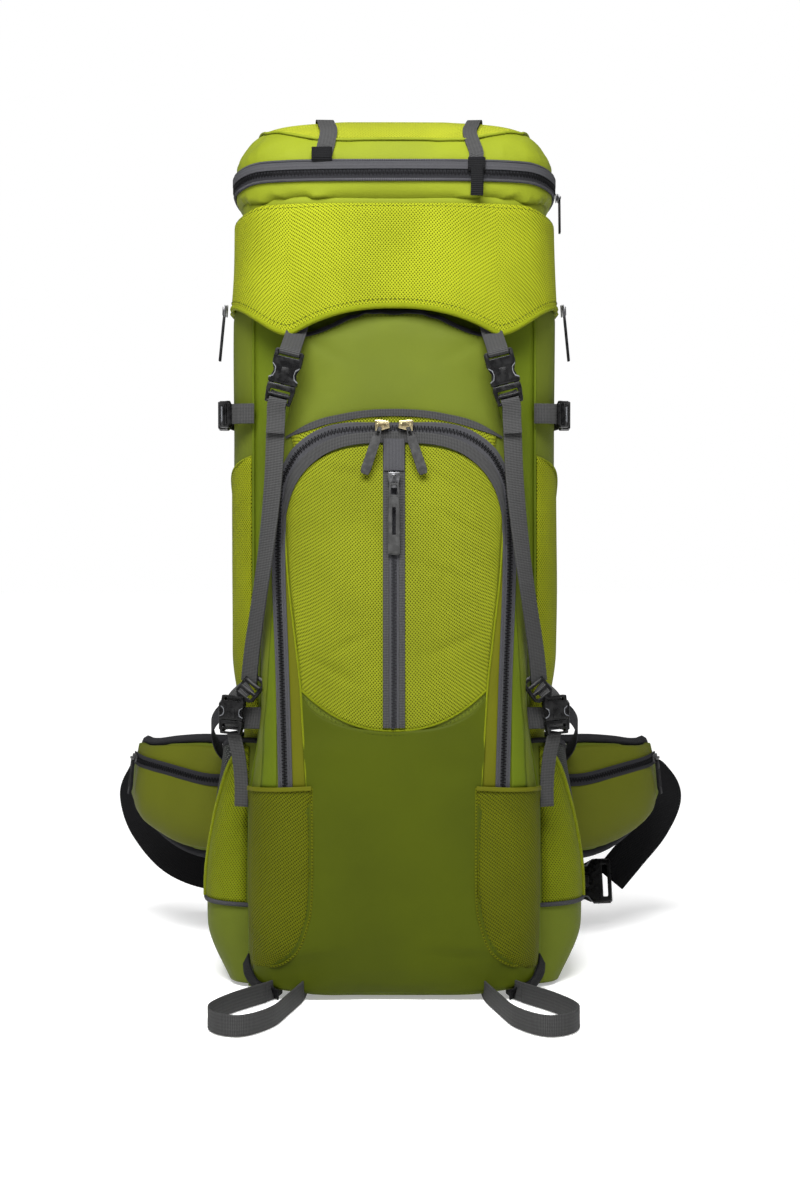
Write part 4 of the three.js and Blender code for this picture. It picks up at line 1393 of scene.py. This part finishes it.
# ---------------------------------------------------------------------------------------------
# Side compression. Two level straps on each side, buckled near the front corner; the webbing
# is sewn into the seam at either end.
# ---------------------------------------------------------------------------------------------
for side, sign in (("left", -1), ("right", 1)):
    for level, z in (("upper", 563), ("lower", 266)):
        meeting = mm(sign * 169, -36, z)
        matrix = aimed(meeting, FRONT, (sign, 0, 0))
        names = f"{side}_{level}_side_buckle"
        buckle_housing(f"{names}_shell", f"{names}_housing", "root", matrix)
        buckle_insert(f"{names}_prongs", f"{names}_insert", f"{side}_{level}_side_insert", matrix)
        back = [
            (sign * 169, -29, z), (sign * 169, -18, z), (sign * 168, 10, z), (sign * 166, 45, z),
            (sign * 158, 78, z), (sign * 140, 93, z),
        ]
        faces = [(sign, 0, 0)] * 4 + [(sign, 0.8, 0), (sign * 0.5, 1, 0)]
        cloth = web(
            f"{side}_{level}_side_webbing", back, faces, WEBBING, grey_webbing, "root",
            node=f"{side}_{level}_side_strap", steps=60,
        )
        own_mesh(cloth)
        ahead = [
            (sign * 169, -58, z), (sign * 167.5, -66, z), (sign * 161, -79, z), (sign * 149, -88, z),
            (sign * 136, -91, z),
        ]
        ahead_faces = [(sign, 0, 0), (sign, -0.2, 0), (sign, -1, 0), (sign * 0.4, -1, 0), (sign * 0.2, -1, 0)]
        web(f"{side}_{level}_corner_webbing", ahead, ahead_faces, WEBBING, grey_webbing, "root", steps=30)
        if level == "upper":
            beside = aimed(mm(sign * 165.5, -75.5, z), (-sign * 0.62, -1, 0), (sign, -0.62, 0))
            ladder(f"{side}_upper_corner_adjuster", beside, "root", 26, 22)


# ---------------------------------------------------------------------------------------------
# Side pockets. Stretch pockets sewn to the corners and open at the top: lime mesh at the front,
# a bright binding, dark stretch mesh round the side, and plain green below a grey piping.
# ---------------------------------------------------------------------------------------------
def side_reach(z):
    return mix(188, 169, ease(z, 90, 250)) - 34 * (1 - ease(z, -30, 60))


def side_pocket_point(sign, t, z, lift=0.0):
    """t is -1 at the front seam and 1 at the rear seam."""
    y = 84 * t
    inner = 150 * sqrt(sqrt(1 - (abs(y) / BAG_HALF_DEPTH) ** 4)) + 3
    outer = inner + 4 + (side_reach(z) - inner - 4) * (1 - t ** 4)
    return mm(sign * (outer + lift), y - (lift if t < -0.8 else 0), z)


def mouth(t):
    return 244 - 12 * ease(t, -0.95, -0.3) + 4 * ease(t, 0.2, 0.9)


def spread(s, power=1.5):
    """Columns closer together towards both ends."""
    return math.copysign(1 - (1 - abs(s)) ** power, s)


for side, sign in (("left", -1), ("right", 1)):
    def pocket_wall(u, v, sign=sign):
        t = spread((2 * u - 1) * sign)
        return side_pocket_point(sign, t, mix(4, mouth(t), v), 0.6)

    shell = lay_cloth(f"{side}_pocket_shell", 44, 40, pocket_wall, upper_green, thickness=0)
    sewn = {v.index for v in shell.data.vertices if v.co.z < 0.012 or abs(v.co.y) > 0.080 or v.co.z > 0.226}
    swell(shell, 2.0, 2.5 * MM, sewn, level=1)
    side_tree = surface(shell)
    wall = shell.modifiers.new("thickness", "SOLIDIFY")
    wall.thickness = 2.0 * MM
    wall.offset = -1
    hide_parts(f"{side}_side_pocket")

    def on_side(t, z, lift, sign=sign, tree=side_tree):
        place, normal, _, _ = tree.find_nearest(side_pocket_point(sign, t, z))
        return place + normal * (lift * MM)

    def boundary(z):
        return through([(84, -0.40), (130, -0.46), (170, -0.56), (210, -0.76), (240, -0.93)], z)

    def lime_zone(u, v, sign=sign, on_side=on_side):
        z = mix(84, 238, v)
        out = u if sign > 0 else 1 - u
        t = mix(-0.955, boundary(z), out)
        return on_side(t, z, 1.2 + 1.6 * sin(pi * v) * sin(pi * out))

    def stretch_zone(u, v, sign=sign, on_side=on_side):
        out = u if sign > 0 else 1 - u
        low = mix(84, 240, v)
        t = mix(boundary(low), 0.86, out)
        z = mix(84, mouth(t) - 3, v)
        return on_side(t, z, 1.4)

    mesh_front = lay_cloth(f"{side}_pocket_mesh", 14, 40, lime_zone, side_pocket_mesh, 1.0 * MM)
    mesh_side = lay_cloth(f"{side}_pocket_stretch", 44, 36, stretch_zone, stretch_mesh, 0.9 * MM)
    line = [on_side(boundary(z), z, 1.6) for z in range(84, 241, 6)]
    binding = soft_tube(f"{side}_pocket_binding", line, 2.4 * MM, lime_binding, steps=90)
    low_line = [on_side(spread(s / 12) * 0.97, 82, 1.2) for s in range(-12, 13)]
    low_piping = soft_tube(f"{side}_pocket_piping", low_line, 2.2 * MM, grey_tape, steps=90)
    mouth_line = [on_side(spread(s / 12), mouth(spread(s / 12)), 0.0) for s in range(-12, 13)]
    elastic = soft_tube(f"{side}_pocket_elastic", mouth_line, 2.6 * MM, dark_tape, steps=90)
    for piece in (shell, mesh_front, mesh_side, binding, low_piping, elastic):
        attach(piece, "root")

# ---------------------------------------------------------------------------------------------
# Hip wings. Padded foam wings wrapped in nylon, bound all round with dark tape. Each carries a
# small pocket with a slanting zip, and ends in the webbing of the waist belt.
# ---------------------------------------------------------------------------------------------
WING_SPINE = [(80, 130, 158), (140, 128, 158), (200, 142, 156), (252, 178, 166), (286, 226, 178)]
WING_FACES = [(0, -1, 0), (0, -1, 0), (0.35, -1, 0), (0.75, -1, 0), (0.9, -0.7, 0)]

WING_LOW = 0.83  # how much of its lower half a wing keeps once it is packed full


def wing_width(t):
    return mix(112, 138, ease(t, 0.05, 0.4)) - 58 * ease(t, 0.5, 1)


def wing_frame(sign, t):
    """The middle of the wing at t, the way its face looks, and the way up along its face."""
    steps = 60
    spine = smooth_route([(sign * x, y, z) for x, y, z in WING_SPINE], steps)
    looks = smooth_route([(sign * x, y, z) for x, y, z in WING_FACES], steps)
    i = min(steps, max(0, round(t * steps)))
    ahead = (spine[min(i + 1, steps)] - spine[max(i - 1, 0)]).normalized()
    look = (looks[i] - ahead * looks[i].dot(ahead)).normalized()
    rise = look.cross(ahead)
    return spine[i], look, rise if rise.z > 0 else -rise


for side, sign in (("left", -1), ("right", 1)):
    body = f"{side}_hip_wing"
    table = [wing_frame(sign, t / 60) for t in range(61)]
    wing = stuffed(body, f"{side}_wing_pad", upper_green, voxel=5 * MM, shrink=1.5 * MM)
    for vert in wing.data.vertices:
        middle, _, rise = min(table, key=lambda row: (row[0] * MM - vert.co).length_squared)
        below = (vert.co - middle * MM).dot(rise)
        if below < 0:
            vert.co -= rise * (below * (1 - WING_LOW))
    swell(wing, 3.0, 5 * MM)
    wing.data.materials.append(air_mesh)
    for face in wing.data.polygons:
        nearest = min(table, key=lambda row: (row[0] * MM - face.center).length_squared)
        if face.normal.dot(nearest[1]) < -0.15:
            face.material_index = 1
    wing_tree = surface(wing)
    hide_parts(body)

    def on_wing(t, v, lift, table=table, tree=wing_tree):
        """v runs from -0.5 at the lower edge to 0.5 at the upper edge of the front face."""
        exact = min(59.999, max(0.0, t * 60))
        i = int(exact)
        middle, look, rise = (a.lerp(b, exact - i) for a, b in zip(table[i], table[i + 1]))
        thick = 18 + 20 * ease(t, 0.3, 0.45) * (1 - ease(t, 0.8, 1))
        reach = v * wing_width(t) * (WING_LOW if v < 0 else 1)
        start = (middle + rise * reach + look * (thick / 2 * (1 - 0.4 * (2 * v) ** 4))) * MM
        place, normal, _, _ = tree.find_nearest(start)
        return place + normal * (lift * MM)

    def wing_mid(t, v, table=table):
        i = min(60, max(0, round(t * 60)))
        middle, look, rise = table[i]
        return (middle + rise * (v * wing_width(t) * (WING_LOW if v < 0 else 1)) + look * 1.0) * MM

    outline = [wing_mid(t / 30, 0.497) for t in range(2, 30)]
    outline += [wing_mid(0.985, 0.497 - k / 6 * 0.994) for k in range(1, 6)]
    outline += [wing_mid(t / 30, -0.497) for t in range(29, 1, -1)]
    binding = soft_tube(f"{side}_wing_binding", outline, 5.2 * MM, dark_tape, steps=240)

    def zip_v(t):
        return mix(0.16, 0.24, ease(t, 0.42, 0.92))

    def green_pocket(u, v, sign=sign, on_wing=on_wing):
        t = mix(0.36, 0.93, u if sign > 0 else 1 - u)
        w = mix(-0.44, zip_v(t), v)
        full = 7.0 * sin(pi * min(1, u)) ** 0.7 * sin(pi * (v * 0.8 + 0.1)) ** 0.8
        return on_wing(t, w, 1.0 + full - 1.5 * folds(200 * u, 0, 90 * v, 34, sign))

    def top_zone(u, v, sign=sign, on_wing=on_wing):
        t = mix(0.22, 0.95, u if sign > 0 else 1 - u)
        return on_wing(t, mix(zip_v(t) + 0.03, 0.46, v), 1.0)

    pouch = lay_cloth(f"{side}_wing_pocket", 40, 24, green_pocket, wing_green, 1.2 * MM)
    top_cloth = lay_cloth(f"{side}_wing_top", 40, 8, top_zone, wing_green, 1.0 * MM)
    band = [on_wing(t / 20, zip_v(t / 20) + 0.03, 3.0) for t in range(7, 20)]
    band_look = [wing_tree.find_nearest(p)[1] for p in band]
    tape = strap(f"{side}_wing_zip_tape", band, band_look, 13 * MM, dark_tape, 1.2 * MM, steps=50)
    zip_teeth(
        f"{side}_wing_zip_coil", [p + n * (1.4 * MM) for p, n in zip(band, band_look)], band_look,
        black_webbing, 60, body=body,
    )
    tip_place = band[-2] + band_look[-2] * (2.6 * MM)
    tip = aimed(tip_place, band[-2] - band[-4], band_look[-2])
    slider = bmesh.new()
    slab(slider, [(-3.4, -6), (3.4, -6), (4.8, 2), (4.8, 6), (-4.8, 6), (-4.8, 2)], 3.0, 0, 0.6)
    slab(slider, block(-1.4, 1.4, -5, 5), 3.4, -2.6, 0.5)
    placed(f"{side}_wing_slider", slider, tip, gun_metal, body)
    pull = bmesh.new()
    slab(
        pull, [(-2.6, 0), (2.6, 0), (3.6, -8), (3.6, -40), (-3.6, -40), (-3.6, -8)], 2.0, 0, 0.5,
        [block(-1.5, 1.5, -32, -12)],
    )
    hang = aimed(tip_place + band_look[-2] * (3 * MM), (-sign * 0.10, 0.05, 1), band_look[-2])
    placed(f"{side}_wing_pull", pull, hang, black_rubber, body)
    for piece in (wing, binding, pouch, top_cloth, tape):
        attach(piece, body)

    steady_route = [
        mm(sign * x, y, z) for x, y,
        z in ((160, 30, 258), (178, 40, 262), (191, 62, 246), (190, 92, 224), (180, 116, 206))
    ]
    steady = strap(
        f"{side}_wing_stabiliser", steady_route, [Vector((sign, -0.5, 0.3))], WEBBING * MM, dark_tape,
        1.8 * MM, steps=40,
    )
    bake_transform(steady)

# ---------------------------------------------------------------------------------------------
# Waist belt. Wide black webbing from the tip of each wing to one big side-release buckle. The
# left end is long and goes round to the right; the short right end is folded back on itself.
# ---------------------------------------------------------------------------------------------
BELT = 38
left_route = [
    (-286, 232, 177), (-292, 244, 169), (-298, 252, 147), (-285, 262, 109), (-250, 280, 69),
    (-190, 292, 50), (-80, 300, 44), (40, 292, 44), (64, 287, 44.5),
]
left_faces = [
    (-0.8, -0.8, 0), (-0.8, -0.8, 0), (-0.6, -1, 0), (-0.4, -1, 0), (-0.2, -1, 0), (0, -1, 0), (0, -1, 0),
    (0, -1, 0.1), (0, -1, 0.1),
]
left_belt = web(
    "left_belt_webbing", left_route, left_faces, BELT, black_webbing, None,
    "left_hip_strap", 120, 2.2,
)
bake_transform(left_belt)
left_end = web(
    "left_belt_end", [(52, 288, 44.5), (85, 281, 45), (120, 272, 45), (150, 262, 47), (165, 256, 47.5)],
    [
        (0, -1, 0.1), (0, -1, 0.15), (0, -1, 0.2), (0, -1, 0.25), (0, -1, 0.25),
    ], BELT, black_webbing, "root", None, 40, 2.2,
)
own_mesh(left_end)
right_belt = web(
    "right_belt_webbing",
    [(286, 232, 177), (298, 244, 170), (309, 252, 147), (294, 260, 112), (268, 260, 80), (244, 246, 55)],
    [(0.8, -0.8, 0), (0.6, -0.8, 0), (0.4, -1, 0), (0.1, -1, 0), (0, -1, 0.1), (-0.1, -1, 0.25)],
    BELT, black_webbing, None, "right_hip_strap", 80, 2.2,
)
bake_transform(right_belt)
belt_axis = (1, -0.12, 0.06)
belt_look = (-0.1, -1, 0.25)
belt_place = aimed(mm(198, 250, 50), belt_axis, belt_look)
buckle_housing("belt_buckle_housing", "hip_buckle_housing", "root", belt_place, 1.8)
buckle_insert("belt_buckle_insert", "hip_buckle_insert", "hip_insert", belt_place, 1.8)
keeper = aimed(mm(58, 286.5, 44.5), (1, -0.2, 0), (0, -1, 0.1))
shape = bmesh.new()
slab(
    shape, [(-22, -7), (22, -7), (23, 0), (22, 7), (-22, 7), (-23, 0)], 6.4, 0, 1.0,
    [block(-19.6, 19.6, -4.6, -1.2), block(-19.6, 19.6, 1.2, 4.6)],
)
placed("belt_keeper", shape, keeper, black_plastic, "root")


# ---------------------------------------------------------------------------------------------
# Back. A stiff plastic sheet and a bent aluminium stay lie against the rear panel, with a tall
# air-mesh pad and a lumbar pad over them. Each pad is foam under mesh, sewn with channels.
# ---------------------------------------------------------------------------------------------
def press(piece, route, depth, reach):
    """Sinks the sewn channel along a route into a padded piece."""
    places = [Vector(p) for p in route]
    mesh = piece.data
    pushed = []
    for vert in mesh.vertices:
        gap = min((vert.co - p).length for p in places)
        if gap < reach * 3:
            pushed.append((vert, depth * exp(-(gap / reach) ** 2), vert.normal.copy()))
    for vert, sink, normal in pushed:
        vert.co -= normal * sink


sheet_plastic = moulded("sheet_plastic", linear(40, 41, 43), 0.45)
brushed = moulded("brushed_aluminium", linear(176, 178, 182), 0.34, 1.0)


def carried(node, material):
    """Gives a node of the frame that keeps its own shape its finish."""
    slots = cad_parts[node].material_slots
    for place in slots:
        place.material = material


carried("frame_sheet", sheet_plastic)
carried("frame_stay", brushed)
carried("cord_lock", black_plastic)
carried("base_panel", lower_green)

for name, node, body in (("upper", "upper_back_pad", "root"), ("lumbar", "lumbar_pad", "root")):
    low, high = (Vector(corner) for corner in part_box(node))
    middle, half = (low + high) / 2, (high - low) / 2
    pad = stuffed(node, f"{name}_pad_foam", air_mesh, voxel=5 * MM, shrink=1.5 * MM)
    front_side = {v.index for v in pad.data.vertices if v.co.y < low.y + 0.004}
    swell(pad, 3.0, 6 * MM, front_side, level=0)
    channels = [(-0.45, 0.86), (0.45, 0.86)] if name == "upper" else [(0.0, 0.8)]
    rear = high.y
    for share, reach in channels:
        route = [
            Vector((middle.x + half.x * share, rear, middle.z + half.z * reach * (i / 30 - 1)))
            for i in range(61)
        ]
        press(pad, route, 7 * MM, 6 * MM)
    if name == "upper":
        for level in (-0.33, 0.33):
            route = [
                Vector((middle.x + half.x * 0.45 * (i / 20 - 1), rear, middle.z + half.z * level))
                for i in range(41)
            ]
            press(pad, route, 5 * MM, 5 * MM)
    soft = pad.modifiers.new("soft", "SUBSURF")
    soft.levels = soft.render_levels = 1
    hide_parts(node)
    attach(pad, body)
    rim = []
    for i in range(96):
        a = 2 * pi * i / 96
        c, s = cos(a), sin(a)
        p, q = math.copysign(abs(c) ** 0.55, c), math.copysign(abs(s) ** 0.4, s)
        rim.append(Vector((
            middle.x + (half.x + 1 * MM) * p * sqrt(1 - 0.2 * q * q),
            low.y + 4 * MM,
            middle.z + (half.z + 1 * MM) * q * sqrt(1 - 0.2 * p * p))))
    edge = soft_tube(f"{name}_pad_binding", [*rim, rim[0]], 3.2 * MM, dark_tape, steps=288, closed=True)
    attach(edge, body)

# ---------------------------------------------------------------------------------------------
# Shoulder harness. Two curved foam straps in air mesh, bound with tape, with a lifter to the
# bag's rim, ribbed webbing down the outside, and a chest strap that clips them together.
# ---------------------------------------------------------------------------------------------
SHOULDER = [
    (50, 116, 598), (56, 136, 626), (68, 166, 620), (84, 190, 560), (98, 198, 470), (108, 192, 385),
    (111, 180, 316),
]
SHOULDER_FACES = [
    (0, -0.5, 1), (0, 0.1, 1), (0.1, 0.8, 1), (0.2, 1, 0.3), (0.2, 1, 0), (0.2, 1, -0.1), (0.2, 1, -0.2),
]
for side, sign in (("left", -1), ("right", 1)):
    node = f"{side}_shoulder_pad"
    pad = stuffed(node, f"{side}_shoulder_foam", air_mesh, voxel=4.5 * MM, shrink=1.0 * MM)
    swell(pad, 3.0, 4 * MM)
    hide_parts(node)
    spine = smooth_route([(sign * x, y, z) for x, y, z in SHOULDER], 60)
    looks = smooth_route([(sign * x, y, z) for x, y, z in SHOULDER_FACES], 60)

    def shoulder_point(i, across, lift, spine=spine, looks=looks):
        ahead = (spine[min(i + 1, 60)] - spine[max(i - 1, 0)]).normalized()
        look = (looks[i] - ahead * looks[i].dot(ahead)).normalized()
        width = mix(66, 46, ease(i / 60, 0.3, 1))
        return (spine[i] + look.cross(ahead) * (across * width) + look * lift) * MM, look

    for edge_name, across in (("inner", -0.49), ("outer", 0.49)):
        route = [shoulder_point(i, across, 0)[0] for i in range(1, 60, 2)]
        tube = soft_tube(f"{side}_shoulder_{edge_name}_binding", route, 3.4 * MM, dark_tape, steps=120)
        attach(tube, "harness")
    facing = [shoulder_point(i, 0.0, 9.6) for i in range(16, 60, 3)]
    ladder_web = strap(
        f"{side}_shoulder_daisy", [p for p, _ in facing], [n for _, n in facing], WEBBING * MM,
        black_webbing, 1.8 * MM, steps=70,
    )
    end_place, end_look = shoulder_point(58, 0.0, 6.0)
    low_axis = spine[56] - spine[60]
    ladder(
        f"{side}_shoulder_adjuster", aimed(end_place + end_look * (5 * MM), low_axis, end_look),
        "harness", 28, 30, plate=False,
    )
    lifter_start, lifter_look = shoulder_point(17, 0.0, 12.0)
    ladder(
        f"{side}_lifter_adjuster",
        aimed(lifter_start + lifter_look * (3 * MM), spine[12] - spine[20], lifter_look), "harness", 27,
        26, plate=False,
    )
    top = mm(sign * 84, 101, 690)
    run = [
        lifter_start + lifter_look * (1 * MM), lifter_start.lerp(top, 0.3) + mm(0, 5, 2),
        lifter_start.lerp(top, 0.7) + mm(0, 3, 2), top,
    ]
    lifter = strap(
        f"{side}_load_lifter", run,
        [Vector((0, 0.6, 1)), Vector((0, 0.6, 1)), Vector((0, 0.8, 1)), Vector((0, 1, 0.5))],
        WEBBING * MM, grey_webbing, 1.8 * MM, steps=40,
    )
    tuple(run[0])
    tuple(run[3])
    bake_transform(lifter)
    low_web = strap(
        f"{side}_shoulder_low_webbing",
        [
            mm(sign * x, y, z) for x, y,
            z in ((110.5, 181, 318), (111.5, 174, 300), (124, 152, 276), (139, 122, 256), (149, 97, 246))
        ],
        [Vector((sign * 0.4, 1, -0.4))], WEBBING * MM, grey_webbing, 1.8 * MM, steps=50,
    )
    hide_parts(f"{side}_shoulder_webbing")
    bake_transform(low_web)
    for piece in (pad, ladder_web):
        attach(piece, "harness")

chest_route = [
    (-92, 210, 499), (-84, 212.5, 498), (-42, 219, 496), (0, 221, 495), (42, 219, 496), (84, 212.5, 498),
    (92, 210, 499),
]
web(
    "chest_strap_webbing", chest_route, [(0, 1, 0)], WEBBING, black_webbing, "harness",
    "sternum_strap", 90, 2.0,
)
chest_place = aimed(mm(0, 222.5, 495), (1, 0, 0), (0, 1, 0))
buckle_housing("chest_buckle_housing", None, "harness", chest_place, 0.86)
buckle_insert("chest_buckle_insert", None, "harness", chest_place, 0.86)
for side, sign in (("left", -1), ("right", 1)):
    ladder(
        f"{side}_chest_slider", aimed(mm(sign * 86, 214.5, 498), (1, 0, 0), (sign * 0.2, 1, 0)),
        "harness", 26, 14, plate=False,
    )

# ---------------------------------------------------------------------------------------------
# Haul handle and gear loops. The handle is webbing bent round to a flat anchor on the rear panel.
# Each gear loop is a loop of webbing whose two ends run on under the pocket.
# ---------------------------------------------------------------------------------------------
handle_route = [
    (-34, 108, 700), (-32, 121, 680), (-18, 128, 664), (0, 130, 660), (18, 128, 664), (32, 121, 680),
    (34, 108, 700),
]
handle_faces = [
    (-1, 0.6, -0.3), (-1, 0.8, -0.8), (-0.4, 0.8, -1), (0, 0.6, -1), (0.4, 0.8, -1), (1, 0.8, -0.8),
    (1, 0.6, -0.3),
]
web(
    "haul_handle_webbing", handle_route, handle_faces, WEBBING, black_webbing, "haul_handle",
    "haul_handle", 72, 2.6,
)
web(
    "haul_handle_anchor", [(-52, 101.5, 700), (-20, 101.8, 700), (20, 101.8, 700), (52, 101.5, 700)],
    [(0, 1, 0)], 24, black_webbing, "root", None, 24, 2.0,
)
LOOP = [(88, -155), (97, -200), (110, -256), (134, -290), (158, -280), (167, -246), (152, -202), (122, -153)]
for side, sign in (("left", -1), ("right", 1)):
    body = f"{side}_gear_loop"
    route = [(sign * x, y, 10.8) for x, y in LOOP]
    faces = [tuple((Vector(p) - Vector((sign * 133, -225, 10.8))).normalized()) for p in route]
    web(f"{side}_gear_loop_webbing", route, faces, WEBBING, grey_webbing, body, body, 90, 2.0)
    ends = {"inner": [(88, -155), (86, -136), (85, -112)], "outer": [(122, -153), (114, -134), (109, -110)]}
    for end, spots in ends.items():
        root_route = [(sign * x, y, 10.8 - 0.4 * i) for i, (x, y) in enumerate(spots)]
        web(
            f"{side}_loop_{end}_root", root_route, [(sign, 0, 0)], 19.0, grey_webbing, "root", steps=12,
            thickness=1.9,
        )


# ---------------------------------------------------------------------------------------------
# Zip sliders and pulls. Cast metal sliders with a bail, and moulded or cord pulls that hang
# from them. The centre zip has a large ribbed pull.
# ---------------------------------------------------------------------------------------------
def slider_of(name, node, body, matrix, material, size=1.0):
    shape = bmesh.new()
    slab(shape, [(-3, -6), (3, -6), (4.5, 2), (4.5, 6), (-4.5, 6), (-4.5, 2)], 1.4, -2.4, 0.4)
    slab(shape, [(-3, -6), (3, -6), (4.5, 2), (4.5, 6), (-4.5, 6), (-4.5, 2)], 1.0, -0.5, 0.3)
    slab(shape, block(-1.4, 1.4, -4.6, 4.6), 2.6, -3.9, 0.7, [block(-0.8, 0.8, -2.6, 2.6)])
    bmesh.ops.scale(shape, vec=(size, size, size), verts=shape.verts)
    return placed(name, shape, matrix, material, body, node)


def arch_place(angle, lift):
    x, z = 161 * sin(math.radians(angle)), 389 + 161 * cos(math.radians(angle))
    return mm(x, pocket_face(x, z) - lift, z)


for side, sign in (("left", -1), ("right", 1)):
    matrix = aimed(arch_place(sign * 4, 5.4), (sign, 0, -0.08), FRONT)
    slider_of(
        f"{side}_zip_slider", f"{side}_front_zip_slider", f"{side}_front_slider", matrix, pale_gold, 1.15,
    )
    low, high = (Vector(corner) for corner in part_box(f"{side}_front_zip_pull"))
    axis = Vector((-sign * 0.34, 0, 1)).normalized()
    top = Vector(
        (low.x if sign > 0 else high.x, (low.y + high.y) / 2, high.z)
    ) + Vector((sign * 3 * MM, 0, 0))
    pull = bmesh.new()
    tab = [
        (-1.8, 3), (1.8, 3), (2.6, -2), (4.6, -9), (4.8, -40), (3.6, -44), (-3.6, -44), (-4.8, -40),
        (-4.6, -9), (-2.6, -2),
    ]
    slab(pull, tab, 2.6, 0, 0.8, [block(-1.4, 1.4, -6, -1)])
    slab(pull, block(-2.8, 2.8, -39, -13), 3.4, 0, 0.6)
    placed(
        f"{side}_zip_pull_tab", pull, aimed(top, axis, FRONT), grey_rubber, f"{side}_front_pull",
        f"{side}_front_zip_pull",
    )

low, high = (Vector(corner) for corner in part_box("centre_zip_slider"))
centre = Vector((0, (low.y + high.y) / 2 + 2 * MM, (low.z + high.z) / 2))
slider_of(
    "centre_slider_body", "centre_zip_slider", "centre_slider", aimed(centre, (0, 0, 1), FRONT),
    gun_metal, 1.25,
)
low, high = (Vector(corner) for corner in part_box("centre_zip_pull"))
hook = Vector((0, (low.y + high.y) / 2, high.z))
pull = bmesh.new()
slab(
    pull, [(-4.4, 5), (4.4, 5), (5.8, -9), (-5.8, -9)], 2.2, 0, 0.6,
    [[(-2.6, 3), (2.6, 3), (3.6, -6), (-3.6, -6)]],
)
slab(
    pull,
    [(-4.6, -8), (4.6, -8), (5.4, -16), (5.8, -60), (4.8, -63), (-4.8, -63), (-5.8, -60), (-5.4, -16)],
    3.2, 0, 0.9, [block(-1.7, 1.7, -44, -18)],
)
slab(pull, block(-5.9, 5.9, -62, -52), 4.6, 0, 1.0)
placed(
    "centre_pull_tab", pull, aimed(hook, (0, 0, 1), FRONT), grey_rubber, "centre_pull",
    "centre_zip_pull",
)

low, high = (Vector(corner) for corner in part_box("lid_zip_slider"))
lid_spot = (low + high) / 2
lid_place = aimed(lid_spot - mm(1.5, 0, 0), (0, 1, 0), (1, 0, 0))
slider_of("lid_slider_body", "lid_zip_slider", "lid_zip_slider", lid_place, gun_metal)
cord_pull = bmesh.new()
slab(cord_pull, [(-2.2, 2), (2.2, 2), (3.2, -6), (3.2, -34), (-3.2, -34), (-3.2, -6)], 2.2, 0, 0.6)
placed(
    "lid_slider_pull", cord_pull, aimed(lid_spot + mm(2.4, 2, -3), (0, 0.15, 1), (1, 0, 0)), black_rubber,
    "lid_zip_slider",
)

for side, sign in (("left", -1), ("right", 1)):
    spot = mm(sign * 166, -34, 668)
    matrix = aimed(spot, (-sign * 0.05, 0, 1), (sign, 0, 0))
    slider_of(f"{side}_side_zip_slider", None, "root", matrix, gun_metal)
    pull = bmesh.new()
    slab(pull, [(-2.4, 2), (2.4, 2), (3.6, -6), (3.6, -44), (-3.6, -44), (-3.6, -6)], 2.4, 0, 0.6)
    placed(
        f"{side}_side_zip_pull", pull,
        aimed(spot + mm(sign * 3.6, 0, -6), (-sign * 0.10, 0, 1), (sign, 0, 0)), black_rubber, "root",
    )

# ---------------------------------------------------------------------------------------------
# Studio floor. White paper that glows a little, so that it stays white far away.
# ---------------------------------------------------------------------------------------------
paper = Finish("studio_paper", (0.86, 0.86, 0.86), 0.7)
paper_x, paper_y, _ = paper.axes()
reach = (paper_x * paper_x + paper_y * paper_y) ** 0.5
glow = reach.between(0.5, 3.5)
paper.set("Emission Color", glow.mix((0.32, 0.32, 0.32, 1), (0.66, 0.66, 0.66, 1)))
paper.set("Emission Strength", 1.0)
floor_shape = bmesh.new()
bmesh.ops.create_grid(floor_shape, x_segments=1, y_segments=1, size=15)
floor = finish_mesh("studio_floor", floor_shape, paper.material)
